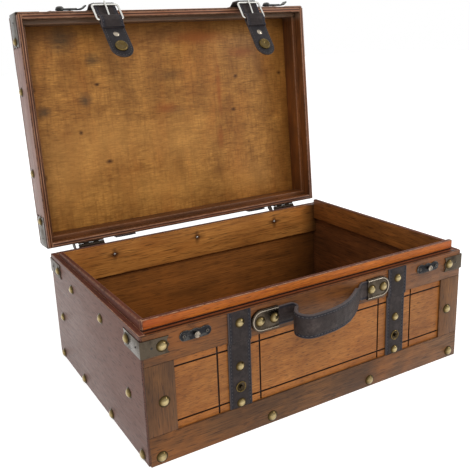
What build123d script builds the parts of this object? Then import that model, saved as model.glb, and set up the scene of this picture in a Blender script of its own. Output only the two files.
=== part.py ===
from build123d import *
from math import asin, cos, radians, sin
import os

# Suitcase-style wooden chest, millimetres, lid open against its hinge stops
# X runs along the front, Y from front to back, Z up, origin under the middle of the base

# Closed box
WIDTH = 380.0
DEPTH = 264.0
BASE_HEIGHT = 126.0
LID_HEIGHT = 41.0
LID_OPEN_ANGLE = 94.7

# Boards
BOARD = 6.0
FRAME = 2.0
FRAME_INSET = 1.4
BOTTOM_BOARD = 5.0
LID_PANEL = 5.0
LINER = 5.0
LIP_RISE = 12.0
LIP_CHAMFER = 1.2
LIP_CLEARANCE = 0.8
SIDE_LINER_DROP = 20.0
BACK_LINER_DROP = 39.0
RIM_GAP = 0.4
LID_EDGE_ROUND = 3.0
RAIL_HEIGHT = 29.0
STILE_WIDTH = 28.0

# Grooves routed into the front board
GROOVE_WIDTH = 1.8
GROOVE_DEPTH = 1.2
GROOVE_INSET = 7.5
GROOVE_SPREAD = 22.5

# Dome nails
STUD_RADIUS = 5.5
STUD_HEIGHT = 3.0
STRAP_NAIL_RADIUS = 4.5
STRAP_NAIL_HEIGHT = 2.6
SHANK_RADIUS = 0.9
SHANK_LENGTH = 4.0
PIN_RADIUS = 1.1
PIN_HEIGHT = 0.7
BOTTOM_STUD_SHARES = (-0.468, -0.161, 0.161, 0.468)
BOTTOM_STUD_HEIGHT = 7.5
STILE_STUD_SHARE = 0.48
STILE_STUD_INSET = 18.0
SIDE_STUD_LOW = 6.0
SIDE_STUD_MIDDLE_SHARE = 0.448
SIDE_STUD_DROP = 20.5
SIDE_LOW_SHARES = (-0.445, -0.15, 0.165, 0.445)
SIDE_MIDDLE_SHARES = (-0.358, 0.398)
SIDE_HIGH_SHARES = (-0.12, 0.22)
LID_SIDE_STUD_SHARES = (-0.18, 0.175)
LID_SIDE_STUD_LEVEL = 26.0
LID_TOP_STUD_SHARES = (-0.388, 0.388)
LID_TOP_STUD_INSET = 12.0
BACK_NAIL_SHARES = (-0.307, -0.014, 0.297)
BACK_NAIL_DROP = 13.0

# Corner brackets
BRACKET_SHEET = 1.0
BRACKET_FRONT_LEG = 26.0
BRACKET_SIDE_LEG = 37.0
BRACKET_HEIGHT = 16.0
BRACKET_DROP = 12.5
BRACKET_SCALLOP = 2.0
BRACKET_STUD_INSET = 7.0
BRACKET_PIN_INSET = 9.5
LID_BRACKET_HEIGHT = 26.0
LID_BRACKET_RISE = 17.5

# Leather straps
STRAP_SHARE = 0.25
STRAP_WIDTH = 24.0
LEATHER = 2.0
STRAP_NAIL_DROP = 11.0
FIELD_NAIL_SHARES = (0.618, 0.066)
SNAP_SHARE = 0.309
STRAP_END_GAP = 0.3
LID_STRAP_WIDTH = 26.0
LID_NAIL_SHARES = (-0.4, 0.4)
LID_NAIL_LEVEL = 24.0
LID_STRAP_STEP = 9.0
LID_STRAP_LANDING = 1.6
LID_STRAP_BEND = 3.0

# Flap with buckle and press stud, hanging from each lid strap
FLAP_REST_ANGLES = {-1: 50.0, 1: 58.0}
FLAP_OVERHANG = 10.0
FLAP_NAIL_CLEARANCE = 0.5
FLAP_GAP = 0.3
FLAP_TIP = 15.0
TAIL_LENGTH = 38.5
TONGUE_START = 23.0
BUCKLE_WIDTH = 33.0
BUCKLE_WIRE_RADIUS = 1.25
BUCKLE_TOP_DROP = 4.0
BUCKLE_LENGTH = 23.0
BUCKLE_CORNER = 3.0
BUCKLE_SEAT = 0.1
TAIL_BEND = 4.0
TAIL_HUMP = 7.0
TAIL_ROUND = 1.5
PRONG_WIDTH = 1.8
PRONG_THICKNESS = 1.6
PRONG_OVERHANG = 3.5
PRONG_SLOT_GAP = 0.3
FLAP_RIVET_SHARE = 0.345
FLAP_RIVET_RADIUS = 3.4
FLAP_RIVET_HEIGHT = 1.2
SNAP_CAP_RADIUS = 7.5
SNAP_CAP_HEIGHT = 2.6
SNAP_CUP_RADIUS = 4.2
SNAP_CUP_DEPTH = 1.4
SNAP_RING_RADIUS = 5.2
SNAP_RING_HEIGHT = 1.0
SNAP_POST_RADIUS = 1.9
SNAP_POST_HEIGHT = 3.0

# Catches on the base and hook latches on the lid
CATCH_INSET = 51.0
CATCH_LENGTH = 31.0
CATCH_WIDTH = 9.5
CATCH_SHEET = 1.2
CATCH_DROP = 9.5
CATCH_SCREW_SPREAD = 11.3
CATCH_SCALLOP = 1.0
KNOB_NECK_RADIUS = 1.7
KNOB_HEAD_RADIUS = 2.9
KNOB_HEAD_HEIGHT = 1.4
KNOB_GAP = 0.4
LATCH_LEVEL = 11.0
HOOK_SHEET = 1.6
HOOK_WIDTH = 8.0
HOOK_REACH = 30.0
HOOK_EYE_RADIUS = 5.0
HOOK_HEAD_RADIUS = 4.6
HOOK_TAB_LENGTH = 4.6
HOOK_TAB_RISE = 3.6
HOOK_TAB_BEND = 2.0
HOOK_SEAT_GAP = 0.1
HOOK_BORE_GAP = 0.06
LATCH_RIVET_RADIUS = 2.0
LATCH_SHOULDER_RADIUS = 3.6
LATCH_HEAD_RADIUS = 4.4
LATCH_HEAD_HEIGHT = 2.4
SCREW_RADIUS = 1.9
SCREW_HEIGHT = 0.8

# Carrying handle
PLATE_STRAP_GAP = 0.3
PLATE_LENGTH = 28.7
PLATE_HEIGHT = 21.5
PLATE_DROP = 15.0
PLATE_SHEET = 1.0
PLATE_RIVET_SPACING = 15.5
PLATE_RIVET_INSET = 8.5
PLATE_RIVET_RADIUS = 4.2
PLATE_RIVET_HEIGHT = 2.4
PLATE_BEAD_WIDTH = 1.6
PLATE_BEAD_HEIGHT = 0.8
TAB_LEATHER = 2.2
TAB_HEIGHT = 19.0
TAB_ROOM = 0.1
LEFT_TAB_SHARE = -0.37
RIGHT_TAB_SHARE = 0.435
GRIP_LEATHER = 4.4
GRIP_HEIGHT = 24.0
GRIP_ROOT_HEIGHT = 14.0
GRIP_STANDOFF = 4.7
GRIP_BULGE_SHARE = 0.356
GRIP_ROOT_SHARES = (-0.315, 0.38)
GRIP_BEND_SHARES = (-0.574, -0.018)
GRIP_RADIUS_SHARES = (0.102, 0.74)
GRIP_FLARE = 12.0
NECK_HEIGHT = 4.0
NECK_GAP = 0.5

# Stop hinges on the back
HINGE_STRAP_GAP = 10.3
HINGE_LENGTH = 31.0
HINGE_SHEET = 1.2
HINGE_LEAF_HEIGHT = 15.0
HINGE_OUT = 4.0
KNUCKLE_RADIUS = 2.6
KNUCKLE_COUNT = 5
KNUCKLE_GAP = 0.2
HINGE_PIN_RADIUS = 1.2
HINGE_RUNNING_GAP = 0.05
HINGE_SCREW_SHARE = 0.3
STOP_SHEET = 1.2
STOP_SETBACK = 4.0
STOP_GAP = 0.05
STOP_ROOT = 9.0
STOP_NEAR = 3.0
STOP_FAR = 7.0

# Places worked out from the sizes above
HALF = WIDTH / 2
FRONT = -DEPTH / 2
BACK = DEPTH / 2
BOARD_FRONT = FRONT + FRAME
INNER_FRONT = BOARD_FRONT + BOARD
INNER_BACK = BACK - BOARD
INNER_SIDE = HALF - BOARD
FRAME_SIDE = HALF - FRAME_INSET
LIP_TOP = BASE_HEIGHT + LIP_RISE
RIM = BASE_HEIGHT + RIM_GAP
TOP = BASE_HEIGHT + LID_HEIGHT
LID_CEILING = TOP - LID_PANEL
LID_SIDE_INNER = INNER_SIDE + LIP_CLEARANCE
LID_FRONT_INNER = INNER_FRONT - LIP_CLEARANCE
HINGE_Y = BACK + HINGE_OUT
HINGE_Z = BASE_HEIGHT + RIM_GAP / 2
RAIL_BOTTOM = BASE_HEIGHT - RAIL_HEIGHT
FIELD_HEIGHT = RAIL_BOTTOM - RAIL_HEIGHT
BRACKET_LEVEL = BASE_HEIGHT - BRACKET_DROP
STRAP_SPREAD = STRAP_SHARE * WIDTH
CATCH_SPREAD = HALF - CATCH_INSET
CATCH_LEVEL = BASE_HEIGHT - CATCH_DROP
PLATE_LEVEL = BASE_HEIGHT - PLATE_DROP
PLATE_OUTER = STRAP_SPREAD - STRAP_WIDTH / 2 - PLATE_STRAP_GAP
PLATE_INNER = PLATE_OUTER - PLATE_LENGTH
HANDLE_SPAN = 2 * PLATE_INNER
GRIP_BULGE = GRIP_BULGE_SHARE * HANDLE_SPAN
FLAP_HEM = BASE_HEIGHT - FLAP_OVERHANG
SNAP_LEVEL = RAIL_HEIGHT + SNAP_SHARE * FIELD_HEIGHT
SNAP_DROP = FLAP_HEM - SNAP_LEVEL
FLAP_LENGTH = SNAP_DROP + FLAP_TIP
FLAP_RIVET_DROP = TAIL_LENGTH + FLAP_RIVET_SHARE * (SNAP_DROP - TAIL_LENGTH)
HINGE_CLEAR = HINGE_STRAP_GAP + STOP_SHEET + STOP_SETBACK
HINGE_SPREAD = STRAP_SPREAD + LID_STRAP_WIDTH / 2 + HINGE_CLEAR + HINGE_LENGTH / 2
STRAP_FACE = FRONT - LEATHER
FLAP_BACK = STRAP_FACE - STRAP_NAIL_HEIGHT - FLAP_NAIL_CLEARANCE
FLAP_FACE = FLAP_BACK - LEATHER
FLAP_Y = FLAP_BACK - LEATHER / 2
BUCKLE_Y = FLAP_FACE - BUCKLE_WIRE_RADIUS - BUCKLE_SEAT
HOOK_LIFT = SCREW_HEIGHT + KNOB_GAP
KNOB_NECK_HEIGHT = HOOK_LIFT + HOOK_SHEET + KNOB_GAP
CATCH_FACE = FRONT - CATCH_SHEET
HOOK_BACK = CATCH_FACE - HOOK_LIFT
PIVOT_Z = RIM + LATCH_LEVEL
KNOB_ARM = PIVOT_Z - CATCH_LEVEL
PLATE_FACE = FRONT - TAB_LEATHER - TAB_ROOM - PLATE_SHEET
OUTWARD = (0, -1, 0)
BACKWARD = (0, 1, 0)


def block(low, high):
    """Box between two opposite corners."""
    size = [b - a for a, b in zip(low, high)]
    centre = [(a + b) / 2 for a, b in zip(low, high)]
    return Pos(*centre) * Box(*size)


def along_x(sketch, start, end):
    """Sketch of depth and height, extruded from one width to another."""
    return extrude(Plane.YZ.offset(start) * sketch, end - start, dir=(1, 0, 0))


def out_of(face_y, sketch, thickness):
    """Sketch of width and height, raised toward the front from a face."""
    return extrude(Plane.XZ.offset(-face_y) * sketch, thickness, dir=(0, -1, 0))


def facing(point, direction):
    """Frame whose Z axis leaves a surface at a point."""
    return Plane(origin=point, z_dir=direction)


def mirrored(shape):
    """Copy of a shape on the other side of the middle."""
    return mirror(shape, Plane.YZ)


def opened(shape):
    """Turn a part of the closed lid to the open rest position."""
    axis = Axis((0, HINGE_Y, HINGE_Z), (1, 0, 0))
    return shape.rotate(axis, -LID_OPEN_ANGLE)


def hanging(shape, side):
    """Bend a part of the closed flap inward and open it with the lid."""
    axis = Axis((0, FLAP_Y, FLAP_HEM), (1, 0, 0))
    return opened(shape.rotate(axis, FLAP_REST_ANGLES[side]))


def dome(radius, height, shank_radius=SHANK_RADIUS, shank_length=SHANK_LENGTH):
    """Domed head on a plain shank, head seated at the origin."""
    sphere = (radius**2 + height**2) / (2 * height)
    half_turn = asin(radius / sphere) / 2
    crown = (sphere * sin(half_turn), height - sphere + sphere * cos(half_turn))
    outline = Polyline((0, height), (0, -shank_length), (shank_radius, -shank_length),
                       (shank_radius, 0), (radius, 0))
    outline += ThreePointArc((radius, 0), crown, (0, height))
    return revolve(Plane.XZ * make_face(outline), Axis.Z)


def stud(point, direction):
    """Large dome nail of the corner brackets, frame and sides."""
    return facing(point, direction) * dome(STUD_RADIUS, STUD_HEIGHT)


def strap_nail(point, direction):
    """Dome nail through a leather strap."""
    length = SHANK_LENGTH + LEATHER
    nail = dome(STRAP_NAIL_RADIUS, STRAP_NAIL_HEIGHT, shank_length=length)
    return facing(point, direction) * nail


def screw_head(point, direction):
    """Raised head of a small wood screw."""
    return facing(point, direction) * dome(SCREW_RADIUS, SCREW_HEIGHT)


def bored(shape, fasteners):
    """Shape with the shanks of its fasteners cut out."""
    for fastener in fasteners:
        shape = shape - fastener
    return shape


# Fasteners of the base
def front_studs():
    places = [(share * WIDTH, BOTTOM_STUD_HEIGHT) for share in BOTTOM_STUD_SHARES]
    for side in (-1, 1):
        places.append((side * (HALF - STILE_STUD_INSET), STILE_STUD_SHARE * BASE_HEIGHT))
    return [stud((x, FRONT, z), OUTWARD) for x, z in places]


def side_studs(side):
    rows = ((SIDE_STUD_LOW, SIDE_LOW_SHARES), (SIDE_STUD_MIDDLE_SHARE * BASE_HEIGHT, SIDE_MIDDLE_SHARES),
            (BASE_HEIGHT - SIDE_STUD_DROP, SIDE_HIGH_SHARES))
    return [stud((side * HALF, share * DEPTH, z), (side, 0, 0))
            for z, shares in rows for share in shares]


# Corner brackets
def bracket_outline(leg, height):
    """Leg of a bracket with a scalloped end, from the corner outward."""
    half = height / 2
    bay = height / 4
    end = Polyline((0, -half), (leg, -half))
    end += ThreePointArc((leg, -half), (leg - BRACKET_SCALLOP, -bay), (leg, 0))
    end += ThreePointArc((leg, 0), (leg - BRACKET_SCALLOP, bay), (leg, half))
    end += Polyline((leg, half), (0, half), (0, -half))
    return make_face(end)


def bracket(face_y, direction, level, height):
    """Sheet bracket round the right-hand vertical corner at a face."""
    outward = direction[1]
    across = Plane(origin=(HALF + BRACKET_SHEET, face_y, level), x_dir=(-1, 0, 0), z_dir=direction)
    front_leg = extrude(across * bracket_outline(BRACKET_FRONT_LEG, height), BRACKET_SHEET, dir=direction)
    start = face_y + outward * BRACKET_SHEET
    along = Plane(origin=(HALF, start, level), x_dir=(0, -outward, 0), z_dir=(1, 0, 0))
    side_leg = extrude(along * bracket_outline(BRACKET_SIDE_LEG, height), BRACKET_SHEET, dir=(1, 0, 0))
    return front_leg + side_leg


def bracket_studs(face_y, direction, level):
    """Studs at the ends of one right-hand bracket's legs, side leg first."""
    outward = direction[1]
    side_y = face_y - outward * (BRACKET_SIDE_LEG - BRACKET_STUD_INSET)
    front_x = HALF - BRACKET_FRONT_LEG + BRACKET_STUD_INSET
    return [stud((HALF + BRACKET_SHEET, side_y, level), (1, 0, 0)),
            stud((front_x, face_y + outward * BRACKET_SHEET, level), direction)]


def bracket_pins(face_y, direction, level):
    """Small round-headed pins near the corner of one right-hand bracket."""
    outward = direction[1]
    pin = dome(PIN_RADIUS, PIN_HEIGHT)
    front_x = HALF - BRACKET_PIN_INSET
    side_y = face_y - outward * BRACKET_PIN_INSET
    return [facing((front_x, face_y + outward * BRACKET_SHEET, level), direction) * pin,
            facing((HALF + BRACKET_SHEET, side_y, level), (1, 0, 0)) * pin]


def both_sides(shapes):
    """Shapes of the right side together with their left copies."""
    return shapes + [mirrored(shape) for shape in shapes]


# Base boards
def grooved_front_board():
    """Front board with the routed line pattern of its field."""
    board = block((-INNER_SIDE, BOARD_FRONT, 0), (INNER_SIDE, INNER_FRONT, BASE_HEIGHT))
    floor = BOARD_FRONT + GROOVE_DEPTH
    half_width = GROOVE_WIDTH / 2
    field_side = HALF - FRAME_INSET - STILE_WIDTH
    for level in (RAIL_HEIGHT + GROOVE_INSET, RAIL_BOTTOM - GROOVE_INSET):
        board -= block((-field_side, BOARD_FRONT, level - half_width),
                       (field_side, floor, level + half_width))
    for side in (-1, 1):
        for offset in (-GROOVE_SPREAD, GROOVE_SPREAD):
            x = side * STRAP_SPREAD + offset
            board -= block((x - half_width, BOARD_FRONT, RAIL_HEIGHT),
                           (x + half_width, floor, RAIL_BOTTOM))
    return board


def side_board(side):
    low, high = sorted((side * INNER_SIDE, side * HALF))
    return block((low, BOARD_FRONT, 0), (high, BACK, BASE_HEIGHT))


def rail(bottom, top):
    return block((-FRAME_SIDE, FRONT, bottom), (FRAME_SIDE, BOARD_FRONT, top))


def stile(side):
    low, high = sorted((side * (FRAME_SIDE - STILE_WIDTH), side * FRAME_SIDE))
    return block((low, FRONT, RAIL_HEIGHT), (high, BOARD_FRONT, RAIL_BOTTOM))


# Liners with the raised lip that the lid closes over
def front_lip():
    low = BASE_HEIGHT - SIDE_LINER_DROP
    lip = block((-INNER_SIDE, INNER_FRONT, low), (INNER_SIDE, INNER_FRONT + LINER, LIP_TOP))
    return chamfer(lip.edges().filter_by(Axis.X).group_by(Axis.Z)[-1], LIP_CHAMFER)


def side_lip(side):
    low = BASE_HEIGHT - SIDE_LINER_DROP
    near, far = sorted((side * (INNER_SIDE - LINER), side * INNER_SIDE))
    lip = block((near, INNER_FRONT + LINER, low), (far, INNER_BACK - LINER, LIP_TOP))
    return chamfer(lip.edges().filter_by(Axis.Y).group_by(Axis.Z)[-1], LIP_CHAMFER)


def back_liner():
    return block((-INNER_SIDE, INNER_BACK - LINER, BASE_HEIGHT - BACK_LINER_DROP),
                 (INNER_SIDE, INNER_BACK, BASE_HEIGHT))


def back_liner_nails():
    y = INNER_BACK - LINER
    pin = dome(PIN_RADIUS, PIN_HEIGHT)
    return [facing((share * WIDTH, y, BASE_HEIGHT - BACK_NAIL_DROP), OUTWARD) * pin
            for share in BACK_NAIL_SHARES]


# Base straps, dropping from the rail onto the field
def base_strap(side):
    x = side * STRAP_SPREAD
    low = RAIL_HEIGHT + STRAP_END_GAP
    step = RAIL_BOTTOM - LEATHER
    outline = Polygon((FRONT, BASE_HEIGHT), (FRONT, RAIL_BOTTOM), (BOARD_FRONT, step),
                      (BOARD_FRONT, low), (FRONT, low), (FRONT, step), (STRAP_FACE, RAIL_BOTTOM),
                      (STRAP_FACE, BASE_HEIGHT), align=None)
    return along_x(outline, x - STRAP_WIDTH / 2, x + STRAP_WIDTH / 2)


def base_strap_nails(side):
    places = [(STRAP_FACE, BASE_HEIGHT - STRAP_NAIL_DROP)]
    places += [(FRONT, RAIL_HEIGHT + share * FIELD_HEIGHT) for share in FIELD_NAIL_SHARES]
    return [strap_nail((side * STRAP_SPREAD, y, z), OUTWARD) for y, z in places]


def snap_socket(side):
    """Low ring and bevelled post that the flap's cup presses onto."""
    bevel = SNAP_RING_HEIGHT / 2
    inner = SNAP_RING_RADIUS - 2 * bevel
    outline = Polygon((0, 0), (SNAP_RING_RADIUS, 0), (SNAP_RING_RADIUS, bevel),
                      (SNAP_RING_RADIUS - bevel, SNAP_RING_HEIGHT), (inner, bevel),
                      (SNAP_POST_RADIUS, bevel), (SNAP_POST_RADIUS, SNAP_POST_HEIGHT - bevel),
                      (SNAP_POST_RADIUS - bevel, SNAP_POST_HEIGHT), (0, SNAP_POST_HEIGHT), align=None)
    seat = facing((side * STRAP_SPREAD, FRONT, SNAP_LEVEL), OUTWARD)
    return seat * revolve(Plane.XZ * outline, Axis.Z)


# Catch plates
def oval_plate(length, width):
    """Long plate with round ends and two shallow bays in its upper edge."""
    plate = SlotOverall(length, width)
    bay = Circle(width / 2)
    for offset in (-width / 2, width / 2):
        plate -= Pos(offset, width - CATCH_SCALLOP) * bay
    return plate


def catch_plate(side):
    sketch = Pos(side * CATCH_SPREAD, CATCH_LEVEL) * oval_plate(CATCH_LENGTH, CATCH_WIDTH)
    plate = out_of(FRONT, sketch, CATCH_SHEET)
    neck = Pos(side * CATCH_SPREAD, CATCH_LEVEL) * Circle(KNOB_NECK_RADIUS)
    head_y = CATCH_FACE - KNOB_NECK_HEIGHT
    head = facing((side * CATCH_SPREAD, head_y, CATCH_LEVEL), OUTWARD)
    plate += out_of(CATCH_FACE, neck, KNOB_NECK_HEIGHT)
    return plate + head * dome(KNOB_HEAD_RADIUS, KNOB_HEAD_HEIGHT, KNOB_NECK_RADIUS, KNOB_GAP)


def catch_screws(side):
    return [screw_head((side * CATCH_SPREAD + offset, CATCH_FACE, CATCH_LEVEL), OUTWARD)
            for offset in (-CATCH_SCREW_SPREAD, CATCH_SCREW_SPREAD)]


# Handle plates, rivets, leather tabs and grip
def plate_outline(grow=0):
    """Right-hand handle plate: square inner end, round outer end."""
    height = PLATE_HEIGHT + 2 * grow
    radius = height / 2
    outer = PLATE_OUTER + grow - radius
    straight = Pos((PLATE_INNER + outer) / 2, PLATE_LEVEL) * Rectangle(outer - PLATE_INNER, height)
    return straight + Pos(outer, PLATE_LEVEL) * Circle(radius)


def handle_plate():
    """Pressed plate: a pan over the leather with a raised bead round its edge."""
    depth = FRONT - PLATE_FACE
    pan = out_of(FRONT, plate_outline(), depth)
    pan -= out_of(FRONT, plate_outline(-PLATE_SHEET), depth - PLATE_SHEET)
    bead = out_of(PLATE_FACE, plate_outline(), PLATE_BEAD_HEIGHT)
    bead -= out_of(PLATE_FACE, plate_outline(-PLATE_BEAD_WIDTH), PLATE_BEAD_HEIGHT)
    return pan + bead


def plate_rivets():
    outer = PLATE_OUTER - PLATE_RIVET_INSET
    shank = FRONT - PLATE_FACE
    return [facing((x, PLATE_FACE, PLATE_LEVEL), OUTWARD)
            * dome(PLATE_RIVET_RADIUS, PLATE_RIVET_HEIGHT, SHANK_RADIUS, shank + SHANK_LENGTH)
            for x in (outer - PLATE_RIVET_SPACING, outer)]


def grip_points():
    """Corners of the grip's centre line: width, and distance out of the wall."""
    left_root, right_root = [share * HANDLE_SPAN for share in GRIP_ROOT_SHARES]
    left_bend, right_bend = [share * HANDLE_SPAN for share in GRIP_BEND_SHARES]
    return ((left_root, GRIP_STANDOFF), (left_bend, GRIP_BULGE),
            (right_bend, GRIP_BULGE), (right_root, GRIP_STANDOFF))


def from_above(outline, height):
    """Outline of width and distance out, as a band about the plates' level."""
    plane = Plane(origin=(0, FRONT, PLATE_LEVEL + height / 2), x_dir=(1, 0, 0), z_dir=(0, 0, -1))
    return extrude(plane * outline, height, dir=(0, 0, -1))


def handle_grip():
    """Stitched leather band bowed out of the wall, lower where it leaves the tabs."""
    radii = [share * HANDLE_SPAN for share in GRIP_RADIUS_SHARES]
    path = FilletPolyline(*grip_points(), radius=radii)
    band = from_above(trace(path, GRIP_LEATHER), GRIP_HEIGHT)
    root, full = GRIP_ROOT_HEIGHT / 2, GRIP_HEIGHT / 2
    flare = FRONT - GRIP_STANDOFF - GRIP_FLARE
    far = FRONT - GRIP_BULGE - GRIP_LEATHER
    side = Polygon((FRONT, -root), (FRONT - GRIP_STANDOFF, -root), (flare, -full), (far, -full),
                   (far, full), (flare, full), (FRONT - GRIP_STANDOFF, root), (FRONT, root), align=None)
    return band & along_x(Pos(0, PLATE_LEVEL) * side, -PLATE_OUTER, PLATE_OUTER)


def neck(root, bend, tab_end):
    """Narrow stretch of leather that joins a tab to the root of the grip."""
    run = (Vector(*bend) - Vector(*root)).normalized()
    across = Vector(run.Y, -run.X) * (GRIP_LEATHER / 2)
    seat = Vector(*root) - run * NECK_GAP
    near, far = sorted((seat - across, seat + across), key=lambda corner: abs(corner.X - tab_end))
    outline = Polygon((tab_end, 0), (far.X, 0), (far.X, far.Y), (near.X, near.Y),
                      (tab_end, TAB_LEATHER), align=None)
    return from_above(outline, NECK_HEIGHT)


def handle_tab(side, root, bend, tab_end):
    """Leather end under a plate, with the neck where the grip flexes."""
    outer = side * (PLATE_OUTER - TAB_HEIGHT / 2)
    low, high = sorted((outer, tab_end))
    sketch = Pos((low + high) / 2, PLATE_LEVEL) * Rectangle(high - low, TAB_HEIGHT)
    return out_of(FRONT, sketch, TAB_LEATHER) + neck(root, bend, tab_end)


# Hinges
def knuckle_spans():
    pitch = HINGE_LENGTH / KNUCKLE_COUNT
    starts = [index * pitch - HINGE_LENGTH / 2 for index in range(KNUCKLE_COUNT)]
    return [(start, start + pitch - KNUCKLE_GAP) for start in starts]


def hinge_half(x, first, bore, up):
    """Leaf with every second knuckle, above or below the pin."""
    half = HINGE_LENGTH / 2
    low, high = sorted((HINGE_Z + up * KNUCKLE_GAP, HINGE_Z + up * HINGE_LEAF_HEIGHT))
    leaf = block((x - half, BACK, low), (x + half, BACK + HINGE_SHEET, high))
    web_low, web_high = sorted((HINGE_Z, HINGE_Z + up * KNUCKLE_RADIUS))
    for start, end in knuckle_spans()[first::2]:
        knuckle = along_x(Pos(HINGE_Y, HINGE_Z) * Circle(KNUCKLE_RADIUS), x + start, x + end)
        knuckle += block((x + start, BACK, web_low), (x + end, HINGE_Y, web_high))
        knuckle -= along_x(Pos(HINGE_Y, HINGE_Z) * Circle(bore), x + start, x + end)
        leaf += knuckle
    return leaf


def hinge_screws(x, up):
    z = HINGE_Z + up * (KNUCKLE_RADIUS + HINGE_LEAF_HEIGHT) / 2
    offset = HINGE_SCREW_SHARE * HINGE_LENGTH
    return [screw_head((x + step, BACK + HINGE_SHEET, z), BACKWARD) for step in (-offset, offset)]


def hinge_pin(x):
    half = HINGE_LENGTH / 2
    return along_x(Pos(HINGE_Y, HINGE_Z) * Circle(HINGE_PIN_RADIUS), x - half, x + half)


def stop_lug(x):
    """Lug of the lid leaf that bears on the back board when the lid is open."""
    turn = radians(LID_OPEN_ANGLE)
    contact = -HINGE_OUT + STOP_GAP
    near, far = [(contact * cos(turn) + z * sin(turn), contact * sin(turn) - z * cos(turn))
                 for z in (STOP_NEAR, STOP_FAR)]
    outline = Polygon((-HINGE_OUT, STOP_ROOT), (-HINGE_OUT, HINGE_SHEET), near, far,
                      (far[0], 0), (0, STOP_ROOT), align=None)
    end = x - HINGE_LENGTH / 2 - STOP_SETBACK
    lug = along_x(Pos(HINGE_Y, HINGE_Z) * outline, end - STOP_SHEET, end)
    arm = block((end, BACK, HINGE_Z + STOP_ROOT - STOP_SETBACK),
                (end + STOP_SETBACK, BACK + HINGE_SHEET, HINGE_Z + STOP_ROOT))
    return lug + arm


# Lid boards
def rounded_top(shape):
    """Part of the lid trimmed to the rounded upper edges."""
    envelope = block((-HALF, FRONT, RIM), (HALF, BACK, TOP))
    return shape & fillet(envelope.edges().group_by(Axis.Z)[-1], LID_EDGE_ROUND)


def lid_panel():
    return rounded_top(block((-HALF, BOARD_FRONT, LID_CEILING), (HALF, BACK, TOP)))


def lid_trim():
    return rounded_top(block((-FRAME_SIDE, FRONT, RIM), (FRAME_SIDE, BOARD_FRONT, TOP)))


def lid_side_board(side):
    low, high = sorted((side * LID_SIDE_INNER, side * HALF))
    return block((low, BOARD_FRONT, RIM), (high, BACK, LID_CEILING))


def lid_liners():
    """Four strips inside the lid, set back so that the lip fits under them."""
    low = LIP_TOP + LIP_CLEARANCE
    front = LID_FRONT_INNER + LINER
    back = INNER_BACK - LINER
    strips = [block((-LID_SIDE_INNER, LID_FRONT_INNER, low), (LID_SIDE_INNER, front, LID_CEILING)),
              block((-LID_SIDE_INNER, back, low), (LID_SIDE_INNER, INNER_BACK, LID_CEILING))]
    for side in (-1, 1):
        near, far = sorted((side * (LID_SIDE_INNER - LINER), side * LID_SIDE_INNER))
        strips.append(block((near, front, low), (far, back, LID_CEILING)))
    return strips


def lid_studs():
    studs = []
    for side in (-1, 1):
        studs += [stud((side * HALF, share * DEPTH, RIM + LID_SIDE_STUD_LEVEL), (side, 0, 0))
                  for share in LID_SIDE_STUD_SHARES]
        studs += [stud((side * (HALF - LID_TOP_STUD_INSET), share * DEPTH, TOP), (0, 0, 1))
                  for share in LID_TOP_STUD_SHARES]
    return studs


# Lid straps and the flaps that hang from them
def lid_strap(side):
    """Leather band from the back rim over the top to the fold past the front rim."""
    half = LEATHER / 2
    bend = LID_EDGE_ROUND + half
    path = FilletPolyline((BACK + half, RIM), (BACK + half, TOP + half), (FRONT - half, TOP + half),
                          (FRONT - half, RIM + LID_STRAP_STEP), (FLAP_Y, RIM + LID_STRAP_LANDING),
                          (FLAP_Y, FLAP_HEM), radius=[bend, bend, LID_STRAP_BEND, half])
    band = trace(path, LEATHER) + Pos(FLAP_Y, FLAP_HEM) * Circle(half)
    x = side * STRAP_SPREAD
    return along_x(band, x - LID_STRAP_WIDTH / 2, x + LID_STRAP_WIDTH / 2)


def lid_strap_nails(side):
    x = side * STRAP_SPREAD
    z = RIM + LID_NAIL_LEVEL
    nails = [strap_nail((x, STRAP_FACE, z), OUTWARD), strap_nail((x, BACK + LEATHER, z), BACKWARD)]
    nails += [strap_nail((x, share * DEPTH, TOP + LEATHER), (0, 0, 1)) for share in LID_NAIL_SHARES]
    return nails


def buckle_levels():
    """Heights of the buckle's upper and lower bars on the closed box."""
    top = FLAP_HEM - BUCKLE_TOP_DROP
    return top, top - BUCKLE_LENGTH


def buckle_frame(side):
    """Wire frame with rounded corners, lying in front of the flap."""
    top, bottom = buckle_levels()
    centre = (side * STRAP_SPREAD, BUCKLE_Y, (top + bottom) / 2)
    width = BUCKLE_WIDTH - 2 * BUCKLE_WIRE_RADIUS
    plane = Plane(origin=centre, x_dir=(1, 0, 0), z_dir=OUTWARD)
    path = (plane * RectangleRounded(width, top - bottom, BUCKLE_CORNER)).wire()
    section = Plane(origin=path @ 0, z_dir=path % 0) * Circle(BUCKLE_WIRE_RADIUS)
    return sweep(section, path)


def prong(side):
    """Flat tongue from the lower bar, through the strap, over the upper bar."""
    top, bottom = buckle_levels()
    crossing = BUCKLE_Y - BUCKLE_WIRE_RADIUS - BUCKLE_SEAT - PRONG_THICKNESS / 2
    start = bottom + BUCKLE_WIRE_RADIUS + PRONG_SLOT_GAP
    path = FilletPolyline((BUCKLE_Y, start), (crossing, top - BUCKLE_WIRE_RADIUS),
                          (crossing, top + PRONG_OVERHANG), radius=PRONG_THICKNESS)
    x = side * STRAP_SPREAD
    return along_x(trace(path, PRONG_THICKNESS), x - PRONG_WIDTH / 2, x + PRONG_WIDTH / 2)


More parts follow.
